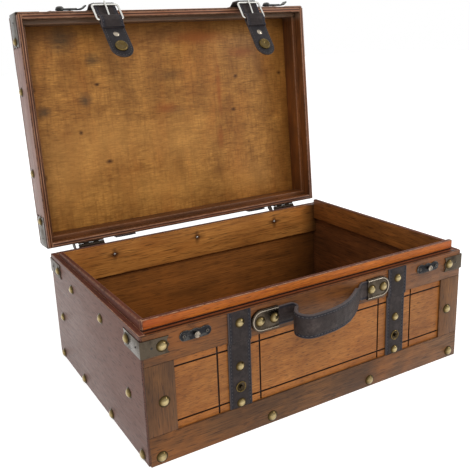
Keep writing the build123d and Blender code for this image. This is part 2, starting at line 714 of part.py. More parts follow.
def flap_tail(side):
    """Cut end of the lid strap, threaded through the buckle and over its lower bar."""
    top, bottom = buckle_levels()
    hump = BUCKLE_Y - BUCKLE_WIRE_RADIUS - BUCKLE_SEAT - LEATHER / 2
    over = FLAP_FACE - LEATHER / 2
    rise, fall = bottom + TAIL_HUMP / 2, bottom - TAIL_HUMP / 2
    path = FilletPolyline((FLAP_Y, FLAP_HEM - LEATHER / 2 - FLAP_GAP), (FLAP_Y, rise + TAIL_BEND),
                          (hump, rise), (hump, fall), (over, fall - TAIL_BEND),
                          (over, FLAP_HEM - TAIL_LENGTH), radius=TAIL_ROUND)
    x = side * STRAP_SPREAD
    tail = along_x(trace(path, LEATHER), x - LID_STRAP_WIDTH / 2, x + LID_STRAP_WIDTH / 2)
    slot = PRONG_WIDTH / 2 + PRONG_SLOT_GAP
    return tail - block((x - slot, hump - LEATHER, bottom), (x + slot, FLAP_BACK, rise + TAIL_BEND))


def flap_tongue(side):
    """Tongue of the flap with its round end."""
    x = side * STRAP_SPREAD
    start, end = FLAP_HEM - TONGUE_START, FLAP_HEM - FLAP_LENGTH
    radius = LID_STRAP_WIDTH / 2
    middle = (start + end + radius) / 2
    sketch = Pos(x, middle) * Rectangle(LID_STRAP_WIDTH, start - end - radius)
    sketch += Pos(x, end + radius) * Circle(radius)
    return out_of(FLAP_BACK, sketch, LEATHER)


def flap_rivet(side):
    point = (side * STRAP_SPREAD, FLAP_FACE, FLAP_HEM - FLAP_RIVET_DROP)
    return facing(point, OUTWARD) * dome(FLAP_RIVET_RADIUS, FLAP_RIVET_HEIGHT, SHANK_RADIUS, LEATHER)


def snap_cap(side):
    """Domed cap on the flap with its cup behind the leather."""
    x, z = side * STRAP_SPREAD, SNAP_LEVEL
    seat = facing((x, FLAP_FACE, z), OUTWARD)
    cap = seat * dome(SNAP_CAP_RADIUS, SNAP_CAP_HEIGHT, SHANK_RADIUS, LEATHER)
    mouth = FLAP_BACK + SNAP_CUP_DEPTH
    cup = out_of(mouth, Pos(x, z) * Circle(SNAP_CUP_RADIUS), SNAP_CUP_DEPTH)
    hollow = Pos(x, z) * Circle(SNAP_POST_RADIUS + SNAP_RING_HEIGHT / 2)
    return cap + (cup - out_of(mouth, hollow, SNAP_CUP_DEPTH - SNAP_RING_HEIGHT / 2))


# Hook latches
def latch_plate(side):
    sketch = Pos(side * CATCH_SPREAD, PIVOT_Z) * oval_plate(CATCH_LENGTH, CATCH_WIDTH)
    return out_of(FRONT, sketch, CATCH_SHEET)


def latch_rivet(side):
    """Pivot of a hook: shoulder, plain neck through its eye and a domed head."""
    centre = Pos(side * CATCH_SPREAD, PIVOT_Z)
    shoulder = out_of(CATCH_FACE, centre * Circle(LATCH_SHOULDER_RADIUS), HOOK_LIFT - HOOK_SEAT_GAP)
    post = out_of(CATCH_FACE, centre * Circle(LATCH_RIVET_RADIUS), KNOB_NECK_HEIGHT)
    head = dome(LATCH_HEAD_RADIUS, LATCH_HEAD_HEIGHT, SHANK_RADIUS, KNOB_NECK_HEIGHT + SHANK_LENGTH)
    seat = facing((side * CATCH_SPREAD, CATCH_FACE - KNOB_NECK_HEIGHT, PIVOT_Z), OUTWARD)
    return shoulder + post + seat * head


def latch_screws(side):
    return [screw_head((side * CATCH_SPREAD + offset, CATCH_FACE, PIVOT_Z), OUTWARD)
            for offset in (-CATCH_SCREW_SPREAD, CATCH_SCREW_SPREAD)]


def latch_hook(side):
    """Swinging lever with an open notch for the knob and an upturned finger tab."""
    lever = Circle(HOOK_EYE_RADIUS) + Pos(KNOB_ARM / 2, 0) * Rectangle(KNOB_ARM, HOOK_WIDTH)
    lever += Pos(KNOB_ARM, 0) * Circle(HOOK_HEAD_RADIUS)
    notch = KNOB_NECK_RADIUS + KNOB_GAP
    lever -= Pos(KNOB_ARM, 0) * Circle(notch)
    lever -= Pos(KNOB_ARM, -HOOK_HEAD_RADIUS / 2) * Rectangle(2 * notch, HOOK_HEAD_RADIUS)
    lever -= Circle(LATCH_RIVET_RADIUS + HOOK_BORE_GAP)
    x = side * CATCH_SPREAD
    hook = out_of(HOOK_BACK, Pos(x, PIVOT_Z) * lever, HOOK_SHEET)
    middle = HOOK_BACK - HOOK_SHEET / 2
    path = FilletPolyline((x + KNOB_ARM + notch, middle), (x + HOOK_REACH - HOOK_TAB_LENGTH, middle),
                          (x + HOOK_REACH, middle - HOOK_TAB_RISE), radius=HOOK_TAB_BEND)
    tab = extrude(Plane.XY.offset(PIVOT_Z - HOOK_WIDTH / 2) * trace(path, HOOK_SHEET), HOOK_WIDTH)
    return hook + tab


def save(name, *shapes):
    """Write one node from one or more solids."""
    solids = [solid for shape in shapes for solid in shape.solids()]
    export_step(Compound(children=solids), f"parts/{name}.step")


# Fasteners, made first so that the pieces that they hold are bored for them
base_corners = ((FRONT, OUTWARD), (BACK, BACKWARD))
lid_level = RIM + LID_BRACKET_RISE
base_studs = front_studs() + side_studs(-1) + side_studs(1)
base_pins = back_liner_nails()
lid_pins = []
for face, direction in base_corners:
    base_studs += both_sides(bracket_studs(face, direction, BRACKET_LEVEL))
    base_pins += both_sides(bracket_pins(face, direction, BRACKET_LEVEL))
    lid_pins += both_sides(bracket_pins(face, direction, lid_level))
lid_nails = lid_studs() + both_sides([bracket_studs(face, direction, lid_level)[0]
                                      for face, direction in base_corners])
base_strap_pins = base_strap_nails(-1) + base_strap_nails(1)
lid_strap_pins = lid_strap_nails(-1) + lid_strap_nails(1)
base_screws = catch_screws(-1) + catch_screws(1)
lid_screws = latch_screws(-1) + latch_screws(1)
for side in (-1, 1):
    base_screws += hinge_screws(side * HINGE_SPREAD, -1)
    lid_screws += hinge_screws(side * HINGE_SPREAD, 1)
handle_rivets = both_sides(plate_rivets())
latch_rivets = [latch_rivet(-1), latch_rivet(1)]
base_fasteners = base_studs + base_pins + base_strap_pins + base_screws + handle_rivets
lid_fasteners = lid_nails + lid_pins + lid_strap_pins + lid_screws + latch_rivets

# Base
os.makedirs("parts", exist_ok=True)
base = {
    "base_bottom": block((-INNER_SIDE, INNER_FRONT, 0), (INNER_SIDE, INNER_BACK, BOTTOM_BOARD)),
    "base_front_board": grooved_front_board(),
    "base_back_board": block((-INNER_SIDE, INNER_BACK, 0), (INNER_SIDE, BACK, BASE_HEIGHT)),
    "base_left_board": side_board(-1),
    "base_right_board": side_board(1),
    "top_rail": rail(RAIL_BOTTOM, BASE_HEIGHT),
    "bottom_rail": rail(0, RAIL_HEIGHT),
    "left_stile": stile(-1),
    "right_stile": stile(1),
    "front_lip": front_lip(),
    "left_lip": side_lip(-1),
    "right_lip": side_lip(1),
    "back_liner": back_liner(),
    "left_base_strap": base_strap(-1),
    "right_base_strap": base_strap(1),
    "left_catch_plate": catch_plate(-1),
    "right_catch_plate": catch_plate(1),
    "left_handle_plate": mirrored(handle_plate()),
    "right_handle_plate": handle_plate(),
    "left_handle_tab": handle_tab(-1, *grip_points()[:2], LEFT_TAB_SHARE * HANDLE_SPAN),
    "right_handle_tab": handle_tab(1, *grip_points()[:1:-1], RIGHT_TAB_SHARE * HANDLE_SPAN),
    "left_hinge_base_leaf": hinge_half(-HINGE_SPREAD, 0, HINGE_PIN_RADIUS, -1),
    "right_hinge_base_leaf": hinge_half(HINGE_SPREAD, 0, HINGE_PIN_RADIUS, -1),
}
base_brackets = []
lid_brackets = []
for face, direction in base_corners:
    base_brackets += both_sides([bracket(face, direction, BRACKET_LEVEL, BRACKET_HEIGHT)])
    lid_brackets += both_sides([bracket(face, direction, lid_level, LID_BRACKET_HEIGHT)])
for name, shape in base.items():
    save(name, bored(shape, base_fasteners))
save("base_brackets", *[bored(shape, base_fasteners) for shape in base_brackets])
save("base_studs", *base_studs)
save("base_pins", *base_pins)
save("base_strap_nails", *base_strap_pins)
save("base_screws", *base_screws)
save("snap_sockets", snap_socket(-1), snap_socket(1))
save("handle_rivets", *handle_rivets)
save("hinge_pins", hinge_pin(-HINGE_SPREAD), hinge_pin(HINGE_SPREAD))
save("handle_grip", handle_grip())

# Lid, drawn closed and then turned open about its hinges
running = HINGE_PIN_RADIUS + HINGE_RUNNING_GAP
lid = {
    "lid_top_panel": lid_panel(),
    "lid_front_board": block((-LID_SIDE_INNER, BOARD_FRONT, RIM),
                             (LID_SIDE_INNER, LID_FRONT_INNER, LID_CEILING)),
    "lid_back_board": block((-LID_SIDE_INNER, INNER_BACK, RIM), (LID_SIDE_INNER, BACK, LID_CEILING)),
    "lid_left_board": lid_side_board(-1),
    "lid_right_board": lid_side_board(1),
    "lid_front_trim": lid_trim(),
    "left_lid_strap": lid_strap(-1),
    "right_lid_strap": lid_strap(1),
    "left_hinge_lid_leaf": hinge_half(-HINGE_SPREAD, 1, running, 1) + stop_lug(-HINGE_SPREAD),
    "right_hinge_lid_leaf": hinge_half(HINGE_SPREAD, 1, running, 1) + stop_lug(HINGE_SPREAD),
}
groups = {
    "lid_liners": [bored(shape, lid_fasteners) for shape in lid_liners()],
    "lid_brackets": [bored(shape, lid_fasteners) for shape in lid_brackets],
    "latch_plates": [bored(latch_plate(side), lid_fasteners) for side in (-1, 1)],
    "lid_studs": lid_nails,
    "lid_strap_nails": lid_strap_pins,
    "lid_screws": lid_screws + lid_pins,
    "latch_rivets": latch_rivets,
}
for name, shape in lid.items():
    save(name, opened(bored(shape, lid_fasteners)))
for name, shapes in groups.items():
    save(name, *[opened(shape) for shape in shapes])

# Hooks and flaps, each its own moving piece on the lid
for prefix, side in (("left", -1), ("right", 1)):
    rivet, cap = flap_rivet(side), snap_cap(side)
    save(f"{prefix}_latch_hook", opened(latch_hook(side)))
    flap = {
        "flap_tongue": [bored(flap_tongue(side), (rivet, cap))],
        "flap_tail": [flap_tail(side)],
        "buckle": [buckle_frame(side), prong(side)],
        "flap_studs": [rivet, cap],
    }
    for name, shapes in flap.items():
        save(f"{prefix}_{name}", *[hanging(shape, side) for shape in shapes])
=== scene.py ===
from math import asin, atan2, ceil, cos, hypot, pi, radians, sin, tan

import bmesh
import bpy
from mathutils import Matrix, Vector
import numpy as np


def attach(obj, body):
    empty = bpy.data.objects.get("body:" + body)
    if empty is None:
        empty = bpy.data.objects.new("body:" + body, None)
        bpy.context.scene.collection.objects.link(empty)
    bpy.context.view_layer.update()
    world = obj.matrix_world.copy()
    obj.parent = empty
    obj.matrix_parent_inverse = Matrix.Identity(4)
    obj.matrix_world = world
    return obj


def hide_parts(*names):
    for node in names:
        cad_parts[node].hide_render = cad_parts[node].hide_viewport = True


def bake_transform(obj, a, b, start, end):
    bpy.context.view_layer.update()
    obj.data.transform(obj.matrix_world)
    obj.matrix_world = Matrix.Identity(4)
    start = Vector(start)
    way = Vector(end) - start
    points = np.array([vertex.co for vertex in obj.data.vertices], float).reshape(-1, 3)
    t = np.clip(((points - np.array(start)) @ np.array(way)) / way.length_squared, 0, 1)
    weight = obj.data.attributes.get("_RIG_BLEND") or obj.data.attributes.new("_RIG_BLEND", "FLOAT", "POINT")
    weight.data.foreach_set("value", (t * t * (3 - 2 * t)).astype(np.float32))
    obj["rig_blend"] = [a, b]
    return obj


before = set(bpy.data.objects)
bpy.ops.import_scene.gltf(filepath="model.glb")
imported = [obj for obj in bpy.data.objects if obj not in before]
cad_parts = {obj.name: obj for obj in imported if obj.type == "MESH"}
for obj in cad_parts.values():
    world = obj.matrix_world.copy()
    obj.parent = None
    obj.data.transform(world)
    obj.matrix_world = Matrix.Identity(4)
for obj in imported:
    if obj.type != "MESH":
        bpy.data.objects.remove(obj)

bl_info = {
    "name": "Suitcase Chest",
    "version": (1, 0, 0),
    "blender": (4, 5, 0),
    "location": "3D View > Sidebar > Chest",
    "description": "Dresses a suitcase-style wooden chest in wood, leather and worn metal",
    "category": "Object",
}

MM = 0.001
SIDES = {"left": -1, "right": 1}
ACROSS, UP = (1.0, 0.0, 0.0), (0.0, 0.0, 1.0)
TO_FRONT, TO_BACK = (0.0, -1.0, 0.0), (0.0, 1.0, 0.0)

# Sizes of the closed chest in millimetres, mostly as in the part's own source
HALF, FRONT, BACK = 190.0, -132.0, 132.0
WIDTH, DEPTH = 2 * HALF, BACK - FRONT
BOARD_FRONT, INNER_FRONT, INNER_BACK, INNER_SIDE = -130.0, -124.0, 126.0, 184.0
FRAME_SIDE, STILE_WIDTH, RAIL, RAIL_BOTTOM = 188.6, 28.0, 29.0, 97.0
BASE_HEIGHT, RIM, CEILING, TOP = 126.0, 126.4, 162.0, 167.0
BOTTOM, BACK_LINER_LOW, LIP_LOW, LID_LINER_LOW = 5.0, 87.0, 106.0, 138.8
LINER = 5.0
LINER_FACE, LIP_BACK = INNER_BACK - LINER, INNER_FRONT + LINER
FRONT_LIP_TOP, LIP_FOOT, LIP_RECESS, SIDE_LIP_TOP = 136.4, 127.0, 1.4, 134.4
SIDE_LIP_FALL = {"left": 4.6, "right": 1.0}
LID_SIDE_INNER, LID_FRONT_INNER, LID_ROUNDING, TRIM_TOP = 184.8, -124.8, 2.6, TOP - 0.8
HINGE = Vector((0.0, 136.0, 126.2))
LID_OPEN = 94.7

# Corner brackets: thickness, reach along front and side, bend, level and height
BRACKET, BRACKET_FRONT, BRACKET_SIDE, BRACKET_BEND = 1.0, 26.0, 37.0, 1.1
BRACKET_Z = {"base": 113.5, "lid": RIM + 17.5}
BRACKET_HEIGHT = {"base": 16.0, "lid": 26.0}

# Straps, flaps, buckles and their stitching. A name that ends in Y or Z is a place in depth or height
STRAP_X, STRAP_FACE, STRAP_THICK, STRAP_PAD = 95.0, -134.0, 2.0, 0.12
BASE_STRAP_HALF, LID_STRAP_HALF = 12.0, 13.0
FLAP_BACK, FLAP_FACE, FLAP_Y, FLAP_HEM = -137.1, -139.1, -138.1, 116.0
FLAP_REST = {"left": 50.0, "right": 58.0}
FOLD = Vector((0.0, FLAP_Y, FLAP_HEM))
FOLD_REACH, FOLD_FRONT = 2.4, FRONT - 3.0
STRAP_LOW, STRAP_STEP, RIM_TURN, FRONT_TURN = RAIL + 0.3, RAIL_BOTTOM - 2.0, RIM + 1.6, RIM + 9.0
BUCKLE_Y, BUCKLE_TOP, BUCKLE_BOTTOM, BUCKLE_HALF, BUCKLE_WIRE = -140.45, 112.0, 89.0, 15.25, 1.25
PRONG_OUT, PRONG_PAST, PRONG_WIDTH, PRONG_THICK = 2.15, 3.5, 1.8, 1.6
HUMP_OUT, HUMP_HALF, HUMP_SLOPE = 2.35, 3.5, 4.0
TAIL_END, TONGUE_TOP, TONGUE_LOW = 77.5, 93.0, 35.0
SNAP_Z, FLAP_RIVET_Z = 50.0, 68.0
SEAM_END, STITCH_RISE, THREAD = 3.0, 0.9, 0.36
FURROW, FURROW_DEPTH = 0.8, 0.28

# Catches and latches
LATCH_X, LATCH_Z, CATCH_Z, CATCH_FACE = 139.0, 137.4, 116.5, -133.2
CATCH_LONG, CATCH_HIGH, CATCH_THICK, KNOB_NECK = 31.0, 9.5, 1.2, 2.0

# Handle: its plates, its line seen from above, and its half widths and thicknesses
PLATE_INNER, PLATE_OUTER, PLATE_HALF, PLATE_Z, PLATE_FACE = 54.0, 82.7, 10.75, 111.0, -135.3
PLATE_THICK, WALL_OUT, BEAD_IN, BEAD_WIRE, RIDGE_IN, RIDGE_WIRE = 1.0, 2.4, 1.5, 0.5, 2.9, 0.3
HANDLE_CORNERS = [(-73.2, 1.1), (-31.0, 1.1), (-62.0, 38.45), (-1.94, 38.45), (45.6, 1.1), (73.2, 1.1)]
HANDLE_BENDS = [2.2, 11.0, 79.9, 8.0]
HANDLE_RIVETS = (58.7, 74.2)
GRIP_OUT, GRIP_SEAM_END, GRIP_STITCH_RISE, GRIP_PAD = 4.7, 8.0, 1.6, 0.55
TAB_HALF, NECK_LOSS, GRIP_GAIN = 9.5, 2.7, 4.6
TAB_THICK, GRIP_THICKER = 2.2, 0.9
NECK_START, NECK_RUN, FLARE_RUN = 7.0, 6.0, 15.0

# Nails and screws. A share is a part of the chest's width or depth, from its middle
FRONT_NAILS, FOOT_NAIL_Z = (-0.468, -0.161, 0.161, 0.468), 7.5
STILE_NAIL_X, STILE_NAIL_Z = 172.0, 60.48
SIDE_NAILS = ((6.0, (-0.445, -0.15, 0.165, 0.445)), (56.45, (-0.358, 0.398)), (105.5, (-0.12, 0.22)))
LID_SIDE_NAILS, LID_SIDE_NAIL_Z = (-0.18, 0.175), RIM + 26
LID_TOP_NAILS, LID_TOP_NAIL_X = (-0.388, 0.388), 178.0
BRACKET_NAIL_X, BRACKET_NAIL_IN, BRACKET_PIN_X, BRACKET_PIN_IN = 171.0, 30.0, 180.5, 9.5
STRAP_NAILS = ((STRAP_FACE, 115.0), (FRONT, 71.02), (FRONT, 33.49))
LID_STRAP_NAIL_Z, LID_STRAP_NAILS = RIM + 24, (-0.4, 0.4)
CLENCHED_X, CLENCHED_Z, STAIN_SIZES = (-116.7, -5.3, 112.9), 113.0, ((13, 9, 3.6), (5, 9, 11))
CATCH_SCREW, HINGE_SCREW_X, HINGE_SCREW_Z, HINGE_LEAF = 11.3, 9.3, 8.8, 1.2

# Radius and height of each kind of dome
LARGE_DOME, STRAP_DOME, LID_STRAP_DOME, HANDLE_DOME = (5.5, 3.0), (4.8, 2.7), (4.7, 2.7), (5.2, 2.9)
PIN_DOME, CLENCHED_DOME, FLAP_DOME = (1.1, 0.7), (1.3, 0.8), (3.4, 1.2)

# Profiles of turned pieces, radius and height from foot to crown, and the radius of the post's dull inside
SCREW = [(1.9, 0), (1.85, 0.35), (1.3, 0.74), (0.7, 0.8), (0.5, 0.3), (0, 0.3)]
SNAP_CAP = [(7.5, 0), (7.5, 0.9), (7.15, 1.7), (6.5, 2.35), (5.8, 2.6), (5.3, 2.4), (5.0, 1.95), (4.2, 1.8),
            (2.2, 1.95), (1.5, 1.85), (0.9, 1.45), (0, 1.3)]
SNAP_CUP = [(4.2, 0), (4.2, 1.1), (3.9, 1.4), (2.9, 1.4), (2.6, 1.1), (2.4, 0.3), (0, 0.3)]
SNAP_POST = [(5.4, 0), (5.4, 0.6), (4.8, 1.1), (4.2, 0.5), (1.9, 0.5), (1.9, 2.4), (1.4, 3.0), (0, 3.0)]
SNAP_INSIDE = 4.0
KNOB = [(1.7, 0), (1.7, 3.2), (2.7, 3.2), (2.9, 3.4), (2.9, 3.7), (2.4, 4.2), (1.5, 4.5), (0, 4.6)]
PIVOT = [(3.6, 0), (3.6, 1.1), (2.0, 1.1), (2.0, 3.2), (4.2, 3.2), (4.4, 3.4), (4.4, 3.9), (3.8, 4.7),
         (2.6, 5.3), (1.3, 5.55), (0, 5.6)]

# A face whose middle is this close to a surface shows that surface's wood
SKIN, EDGE_SKIN, PANEL_SKIN, CUT_SKIN = 0.2, 0.3, 0.05, 0.9

# Share of a band's half width beyond which its faces wear as edges
RIM_SHARE = 0.93

# How much smaller a round end's radius is than half its width, which leaves a short run between the two arcs
ROUND_GAP = 0.01

# Looks: turn of the grain for each axis, fraying of spots, and where the field's grooves hold grime and
# painted shade
GRAIN_TURN = {"X": (0, 0, 0), "Y": (0, 0, radians(-90)), "Z": (0, radians(90), 0), "LID": (0, radians(90), 0)}
SPOT_GRAIN = (90.0, 260.0, 260.0)
GROOVE_SOFT, GROOVE_END = 0.1, (2.5, 3.0)

# Marks on the inside of the lid, on the closed lid: kind, place, width and height
PANEL_MARKS = (
    ("pale", -95, 22, 90, 44), ("pale", -150, 60, 60, 70), ("pale", -20, 88, 130, 36),
    ("pale", 10, 30, 70, 50), ("pale", 110, 96, 60, 30), ("dark", -160, -112, 50, 22),
    ("dark", 168, -84, 30, 44), ("dark", -8, -104, 60, 14), ("knot", -97.2, -49.6, 4.6, 3.4),
    ("knot", -176, -48, 6.4, 4.4), ("knot", -124, 6, 3.8, 4.0), ("knot", -92, 45, 6.4, 3.8),
    ("knot", -175, 55, 4.4, 5.6), ("knot", 98.3, -46.9, 4.6, 4.2), ("knot", 168.6, -47.1, 5.0, 4.0),
    ("knot", 91.3, -3.1, 5.2, 3.6), ("knot", -178, -92, 3.6, 8.0), ("smudge", -99.9, -78.8, 13, 12),
    ("smudge", -113.9, -32.6, 11, 12), ("smudge", -166, -22, 13, 9), ("smudge", -134, -104, 24, 22),
    ("faint", 0, -55, 34, 11), ("faint", 2, -10, 26, 8), ("dark", -132, -76, 14, 18),
    ("dark", 136, -58, 12, 22), ("dark", 4, 62, 12, 26), ("dark", 60, 74, 16, 14),
    ("warm", 71, -30, 5, 44), ("warm", 68, 32, 7, 20), ("warm", 110, -78, 26, 10),
    ("warm", -8, -14, 22, 10), ("warm", 46, -100, 60, 12), ("dark", 178, 20, 12, 60))

# Floor: half its width in millimetres, and its glow
FLOOR_REACH, FLOOR_GLOW = 6000.0, (0.62, 0.62, 0.62)

# Lamps, and the camera at the photograph's viewing angle, in metres
LAMP_AIM = Vector((0.0, 0.0, 0.15))
KEY_PLACE, KEY_SIZE, FILL_PLACE, FILL_SIZE = (-0.9, -1.9, 1.9), 1.3, (1.8, -1.0, 1.4), 0.5
CAMERA_PLACE, CAMERA_ROLL = (-0.371, -0.609, 0.3695), -2.18
CAMERA_RIGHT, CAMERA_BACK = (0.8686, -0.4956, 0.0), (-0.4766, -0.8352, 0.2743)
LENS, SHIFT = 51.2, (0.0083, -0.0364)


def turned(point, degrees):
    """Turn about the X axis through a point."""
    return Matrix.Translation(point) @ Matrix.Rotation(radians(degrees), 4, "X") @ Matrix.Translation(-point)


CLOSED = Matrix.Identity(4)
OPENED = turned(HINGE, -LID_OPEN)
HANGING = {word: OPENED @ turned(FOLD, angle) for word, angle in FLAP_REST.items()}


def linear(*levels):
    """Colour given in the usual 0 to 255 levels, as scene-linear values."""
    shares = [level / 255 for level in levels]
    return tuple(s / 12.92 if s <= 0.04045 else ((s + 0.055) / 1.055) ** 2.4 for s in shares)


def colour(name, description, *levels):
    return bpy.props.FloatVectorProperty(
        name=name, description=description, subtype="COLOR", size=3, min=0, max=1, default=linear(*levels))


def length(name, description, default):
    return bpy.props.FloatProperty(
        name=name, description=description, subtype="DISTANCE", unit="LENGTH", min=0, default=default)


class ChestWoods(bpy.types.PropertyGroup):
    field_light: colour("Field, light", "Light figure of the front field", 190, 126, 62)
    field_dark: colour("Field, dark", "Dark figure of the front field", 106, 58, 24)
    frame_light: colour("Frame, light", "Light figure of rails and stiles", 142, 94, 50)
    frame_dark: colour("Frame, dark", "Dark figure of rails and stiles", 66, 44, 28)
    side_light: colour("Sides, light", "Light figure of the outer side boards", 118, 82, 70)
    side_dark: colour("Sides, dark", "Dark figure of the outer side boards", 104, 72, 63)
    # Painted light: the lid's outer sides are a lighter copy of the side boards' wood, for the light that
    # falls on them.
    lit_lid_side_light: colour("Lid sides, light", "Light figure of the lid's outer sides", 178, 142, 130)
    lit_lid_side_dark: colour("Lid sides, dark", "Dark figure of the lid's outer sides", 136, 102, 94)
    lip_light: colour("Lip, light", "Light figure of the lip's orange front", 228, 134, 48)
    lip_dark: colour("Lip, dark", "Dark figure of the lip's orange front", 140, 66, 26)
    lip_red: colour("Lip, red", "Redder stain at both ends of the lip", 170, 66, 30)
    edging_light: colour("Edging, light", "Light figure of the lip's other sides", 118, 60, 38)
    edging_dark: colour("Edging, dark", "Dark figure of the lip's other sides", 60, 29, 21)
    liner_light: colour("Back liner, light", "Light figure of the back liner", 222, 154, 78)
    liner_dark: colour("Back liner, dark", "Dark figure of the back liner", 138, 82, 34)
    inside_light: colour("Inside, light", "Light figure of the tray's inside", 170, 106, 50)
    inside_dark: colour("Inside, dark", "Dark figure of the tray's inside", 92, 54, 22)
    panel_light: colour("Lid panel, light", "Light figure of the lid's plywood", 212, 150, 74)
    panel_dark: colour("Lid panel, dark", "Dark figure of the lid's plywood", 112, 68, 26)
    panel_pale: colour("Lid panel, pale", "Pale golden areas of the lid's plywood", 226, 166, 88)
    panel_knot: colour("Lid panel, knots", "Reddish knots in the lid's plywood", 50, 18, 4)
    panel_red: colour("Lid panel, red", "Red-brown streaks in the lid's plywood", 146, 80, 32)
    rim_light: colour("Lid rim, light", "Light figure of the lid's rim", 146, 88, 60)
    rim_dark: colour("Lid rim, dark", "Dark figure of the lid's rim", 60, 32, 22)
    strip_light: colour("Lid strips, light", "Light figure of the lid's inner strips", 140, 84, 44)
    strip_dark: colour("Lid strips, dark", "Dark figure of the lid's inner strips", 62, 36, 20)
    weathered: colour("Weathered strip", "Grey bloom on the lid's front strip", 128, 112, 96)
    # Painted highlight: this pale colour on the edges of rim, strips, lips and ledges stands in for their
    # gloss; it also colours the rim's pale plies.
    pale_ply_and_edge_highlight: colour("Rubbed edge", "Pale wood on the rubbed edges of rim and strips", 196, 150, 118)
    warm: colour("Warm stain", "Orange stain along joints and in patches", 172, 102, 42)
    smudge: colour("Smudge", "Grey-brown smudges of old stain", 54, 44, 34)
    # Grime, also used as painted shade: in the tray's inner corners, at the lip's recessed foot, in the
    # field's grooves and in gaps along board edges
    grime_and_shade: colour("Grime", "Dark dirt along edges and in grooves", 36, 18, 10)


class ChestLeathers(bpy.types.PropertyGroup):
    strap: colour("Strap", "Leather of the straps", 46, 38, 37)
    strap_rim: colour("Strap edge", "Darker edges of straps and handle", 24, 26, 36)
    grip: colour("Grip", "Leather of the handle", 54, 45, 43)
    flap: colour("Flap", "Leather of the flaps", 38, 34, 36)
    worn: colour("Worn leather", "Leather where the finish has rubbed off", 98, 86, 82)
    thread: colour("Thread", "Stitching thread", 88, 84, 84)
    pitch: length("Stitch pitch", "Distance from stitch to stitch", 3.4 * MM)
    stitch: length("Stitch length", "Length of one stitch", 2.3 * MM)
    margin: length("Stitch margin", "Distance of the stitching from the edge", 2.4 * MM)
    rounding: length("Edge rounding", "Rounding of the cut leather edges", 0.55 * MM)


class ChestMetals(bpy.types.PropertyGroup):
    # Brass colours the bright crowns of the domes: a painted highlight.
    brass: colour("Brass", "Antique brass of the dome nails", 184, 166, 122)
    brass_dull: colour("Dull brass", "Body of the dome nails under their bright crown", 106, 88, 52)
    # The dark foot of each dome is partly tarnish and partly painted shade.
    brass_tarnish_and_shade: colour("Tarnish", "Tarnish at the foot of each dome", 50, 40, 22)
    bronze: colour("Bronze", "Corner brackets and handle plates", 80, 71, 60)
    bronze_dark: colour("Dark bronze", "Patina on brackets and plates", 50, 43, 36)
    lid_bracket: colour("Lid bracket", "Lighter corner brackets of the lid", 94, 88, 82)
    bead: colour("Bead", "Bright raised bead of the handle plates", 172, 160, 144)
    pewter: colour("Pewter", "Catches and latches", 112, 110, 106)
    # Dark pewter also darkens the feet of screws and latch pivots: patina with painted shade.
    pewter_dark: colour("Dark pewter", "Patina of catches and latches", 42, 42, 44)
    nickel: colour("Nickel", "Buckles", 222, 220, 214)
    nickel_dark: colour("Dull nickel", "Dull places on the buckles", 150, 146, 138)
    lacquer: colour("Lacquer", "Black lacquer of the hinges", 56, 47, 39)
    lacquer_worn: colour("Worn lacquer", "Bare metal on the hinges' edges", 120, 116, 108)
    # Steel colours the screws' bright crowns: a painted highlight.
    steel: colour("Steel", "Screws and small pins", 104, 98, 90)


class ChestStage(bpy.types.PropertyGroup):
    floor: colour("Floor", "Colour of the floor", 238, 237, 235)
    key: bpy.props.FloatProperty(
        name="Key light", description="Power of the large front light", subtype="POWER", unit="POWER",
        default=26.0)
    fill: bpy.props.FloatProperty(
        name="Fill light", description="Power of the side light", subtype="POWER", unit="POWER", default=9.0)
    sky: bpy.props.FloatProperty(
        name="Sky", description="Strength of the even light from all around", subtype="FACTOR", default=0.62)


# Material nodes

def add(tree, kind, inputs=(), **settings):
    """Node of a kind, with its settings and the values or links of its inputs."""
    node = tree.nodes.new(kind)
    for key, value in settings.items():
        setattr(node, key, value)
    for socket, value in dict(inputs).items():
        if isinstance(value, bpy.types.NodeSocket):
            tree.links.new(value, node.inputs[socket])
        else:
            node.inputs[socket].default_value = value
    return node


def linked(tree, sockets, values):
    """Link a value to each named socket."""
    for name, value in values.items():
        tree.links.new(value, sockets[name])
    return tree


def noise(tree, vector, scale, detail=3.0, roughness=0.5, distortion=0.0):
    values = {"Vector": vector, "Scale": scale, "Detail": detail, "Roughness": roughness,
              "Distortion": distortion}
    return add(tree, "ShaderNodeTexNoise", values).outputs["Fac"]


def spread(tree, value, low, high, to_low=0.0, to_high=1.0):
    """Value stretched from one range to another and held there."""
    values = {"Value": value, "From Min": low, "From Max": high, "To Min": to_low, "To Max": to_high}
    return add(tree, "ShaderNodeMapRange", values).outputs["Result"]


def sums(tree, operation, first, second=0.0):
    return add(tree, "ShaderNodeMath", {0: first, 1: second}, operation=operation).outputs[0]


def times(tree, first, second):
    return sums(tree, "MULTIPLY", first, second)


def plus(tree, first, second):
    return sums(tree, "ADD", first, second)


def less(tree, first, second):
    return sums(tree, "SUBTRACT", first, second)


def vectors(tree, operation, *values, result="Vector"):
    """Sum done on vectors."""
    return add(tree, "ShaderNodeVectorMath", enumerate(values), operation=operation).outputs[result]


def mixed(tree, factor, first, second):
    """Colour between two, of which either may be a link."""
    node = add(tree, "ShaderNodeMix", {0: factor}, data_type="RGBA")
    for socket, value in ((node.inputs[6], first), (node.inputs[7], second)):
        if isinstance(value, bpy.types.NodeSocket):
            tree.links.new(value, socket)
        else:
            socket.default_value = (*value[:3], 1)
    return node.outputs[2]


def painted(tree, base, mask, strength, shade):
    """Colour with a shade laid over it where a mask lets it through."""
    return mixed(tree, times(tree, mask, strength), base, shade)


def mesh_mask(tree, name):
    """One of the two masks that every mesh carries, edge or crown."""
    return add(tree, "ShaderNodeAttribute", attribute_name=name).outputs["Fac"]


